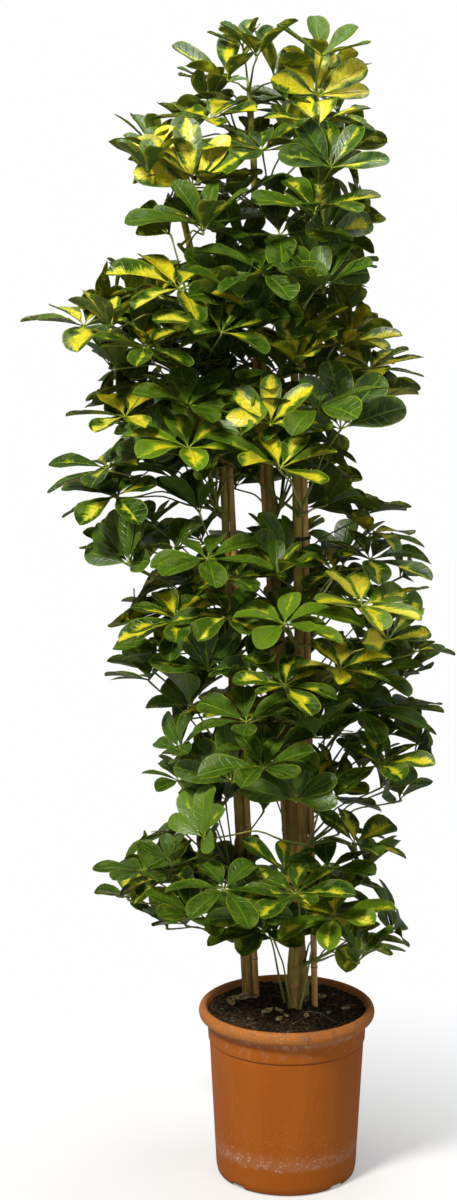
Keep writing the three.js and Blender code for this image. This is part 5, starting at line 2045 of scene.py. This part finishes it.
    def root(self, course: Iterable[Sequence[float]]) -> list[Vector]:
        """A path over the soil, arched clear of it between its ends.

        Args:
            course: Its places on the flat.

        Returns:
            The same places, lifted onto the soil.
        """
        course = list(course)
        lasts = len(course) - 1
        rises = [(0.4 + 2.2 * math.sin(math.pi * k / lasts)) * MM for k in range(len(course))]
        return [Vector((p[0], p[1], self.height_at(p[0], p[1]) + rise)) for p, rise in zip(course, rises)]

    @staticmethod
    def dry_leaf(surface: bmesh.types.BMesh, place: Vector, size: float, turn: float) -> None:
        """Adds one curled dead leaf, as a bent grid with a ragged edge.

        Args:
            surface: What the leaf is added to.
            place: Its middle.
            size: Half its length.
            turn: Its turn about Z.
        """
        long, wide = 6, 8
        rows = []
        for j in range(long + 1):
            v = j / long * 2 - 1
            row = []
            for i in range(wide + 1):
                u = i / wide * 2 - 1
                ragged = math.sqrt(max(0.0, 1 - v * v)) * (0.8 + 0.25 * noise.noise(Vector((u * 2, v * 3, turn))))
                x, y = size * v, size * 0.6 * u * ragged
                z = size * (0.38 * u * u + 0.16 * v * v + 0.18 * noise.noise(Vector((u * 2, v * 2, turn * 3))))
                x, y = x * math.cos(turn) - y * math.sin(turn), x * math.sin(turn) + y * math.cos(turn)
                row.append(surface.verts.new(place + Vector((x, y, z))))
            rows.append(row)
        for lower, upper in zip(rows, rows[1:]):
            for a, b, c, d in zip(lower, lower[1:], upper[1:], upper):
                surface.faces.new((a, b, c, d)).smooth = True
        bmesh.ops.remove_doubles(surface, verts=[v for row in (rows[0], rows[-1]) for v in row], dist=1e-5)


# Studio


@dataclass(frozen=True)
class PhotoView:
    """The camera as the photograph was taken."""

    place: tuple[float, float, float] = (-0.088, -3.2, 1.45)
    pitch: float = math.radians(10.04)
    lens: float = 66.57
    sensor: float = 36.0

    def build(self) -> None:
        """Sets up the scene's camera."""
        camera = bpy.data.objects.new("camera", bpy.data.cameras.new("camera"))
        camera.location = self.place
        camera.rotation_euler = (math.pi / 2 - self.pitch, 0, 0)
        camera.data.lens = self.lens
        camera.data.sensor_width = self.sensor
        bpy.context.scene.collection.objects.link(camera)
        bpy.context.scene.camera = camera

    @classmethod
    def flat(cls, point: Vector) -> tuple[float, float]:
        """Where a point appears on the upright plane through the pot's axis, seen from the camera.

        Args:
            point: The point.

        Returns:
            How far right and how high it appears, in metres.
        """
        eye = Vector(cls.place)
        share = -eye.y / (point.y - eye.y)
        seen = eye + (point - eye) * share
        return seen.x, seen.z


@dataclass(frozen=True)
class Softbox:
    """One soft studio light."""

    name: str
    place: tuple[float, float, float]
    size: float
    power: float
    warmth: tuple[float, float, float] = (1, 1, 1)
    target: tuple[float, float, float] = (0, 0, 0.9)

    def build(self) -> None:
        """Adds the light, turned towards its target."""
        lamp = bpy.data.lights.new(self.name, "AREA")
        lamp.shape, lamp.size, lamp.energy, lamp.color = "DISK", self.size, self.power, self.warmth
        thing = bpy.data.objects.new(self.name, lamp)
        thing.location = self.place
        thing.rotation_euler = (Vector(self.target) - Vector(self.place)).to_track_quat("-Z", "Y").to_euler()
        bpy.context.scene.collection.objects.link(thing)


@dataclass(frozen=True)
class Studio:
    """Plain pale floor, white surroundings and soft lights."""

    ambient: float = 0.34
    white: float = 0.99
    mirrored: float = 0.14
    floor_radius: float = 14.0
    lights: tuple[Softbox, ...] = (
        Softbox("key_light", (-1.5, -2.0, 3.3), 0.7, 158.0, (1.0, 0.98, 0.94)),
        Softbox("top_light", (0.3, 0.4, 3.6), 1.5, 46.0),
        Softbox("fill_light", (2.4, -2.4, 1.4), 2.0, 14.0, (0.95, 0.97, 1.0)),
    )

    def build(self) -> None:
        """Builds the floor, the world and the lights."""
        surface = bmesh.new()
        bmesh.ops.create_circle(surface, cap_ends=True, segments=96, radius=self.floor_radius)
        floor = turned_out("studio_floor", surface, StageFinish("studio_floor", 0.7, 0.2).build())
        world = bpy.data.worlds.new("studio")
        world.use_nodes = True
        bpy.context.scene.world = world
        g = Graph(world.node_tree)
        ray = g.node("ShaderNodeLightPath")
        seen, mirrored = g.out(ray, "Is Camera Ray"), g.out(ray, "Is Glossy Ray")
        strength = seen * (self.white - self.ambient) + mirrored * (self.mirrored - self.ambient) + self.ambient
        g.feed(world.node_tree.nodes["Background"].inputs["Strength"], strength)
        world.node_tree.nodes["Background"].inputs["Color"].default_value = (1, 1, 1, 1)
        for light in self.lights:
            light.build()
        bpy.context.scene.view_settings.view_transform = "Standard"


def main() -> None:
    """Builds the plant in order."""
    logging.basicConfig(level=logging.INFO, format="%(message)s")
    palette = Palette()
    sweeper = Sweeper()
    PhotoView().build()
    Studio().build()
    pot = Pot()
    pot.build(palette.pot)
    Soil(palette, pot).build(sweeper)
    sides = ("left", "middle", "right")
    for side in sides:
        Cane(f"cane_{side}").build(sweeper, palette.bamboo)
        Stem(f"stem_{side}").build(sweeper, palette.bark)
        Tie(f"tie_{side}").build(sweeper, palette.tie)
    random = np.random.default_rng(LEAF_SEED)
    foliage = Foliage(palette, random, Gilding(random))
    foliage.build({side: Stem(f"stem_{side}").path()[0] for side in sides})


if __name__ == "__main__":
    main()
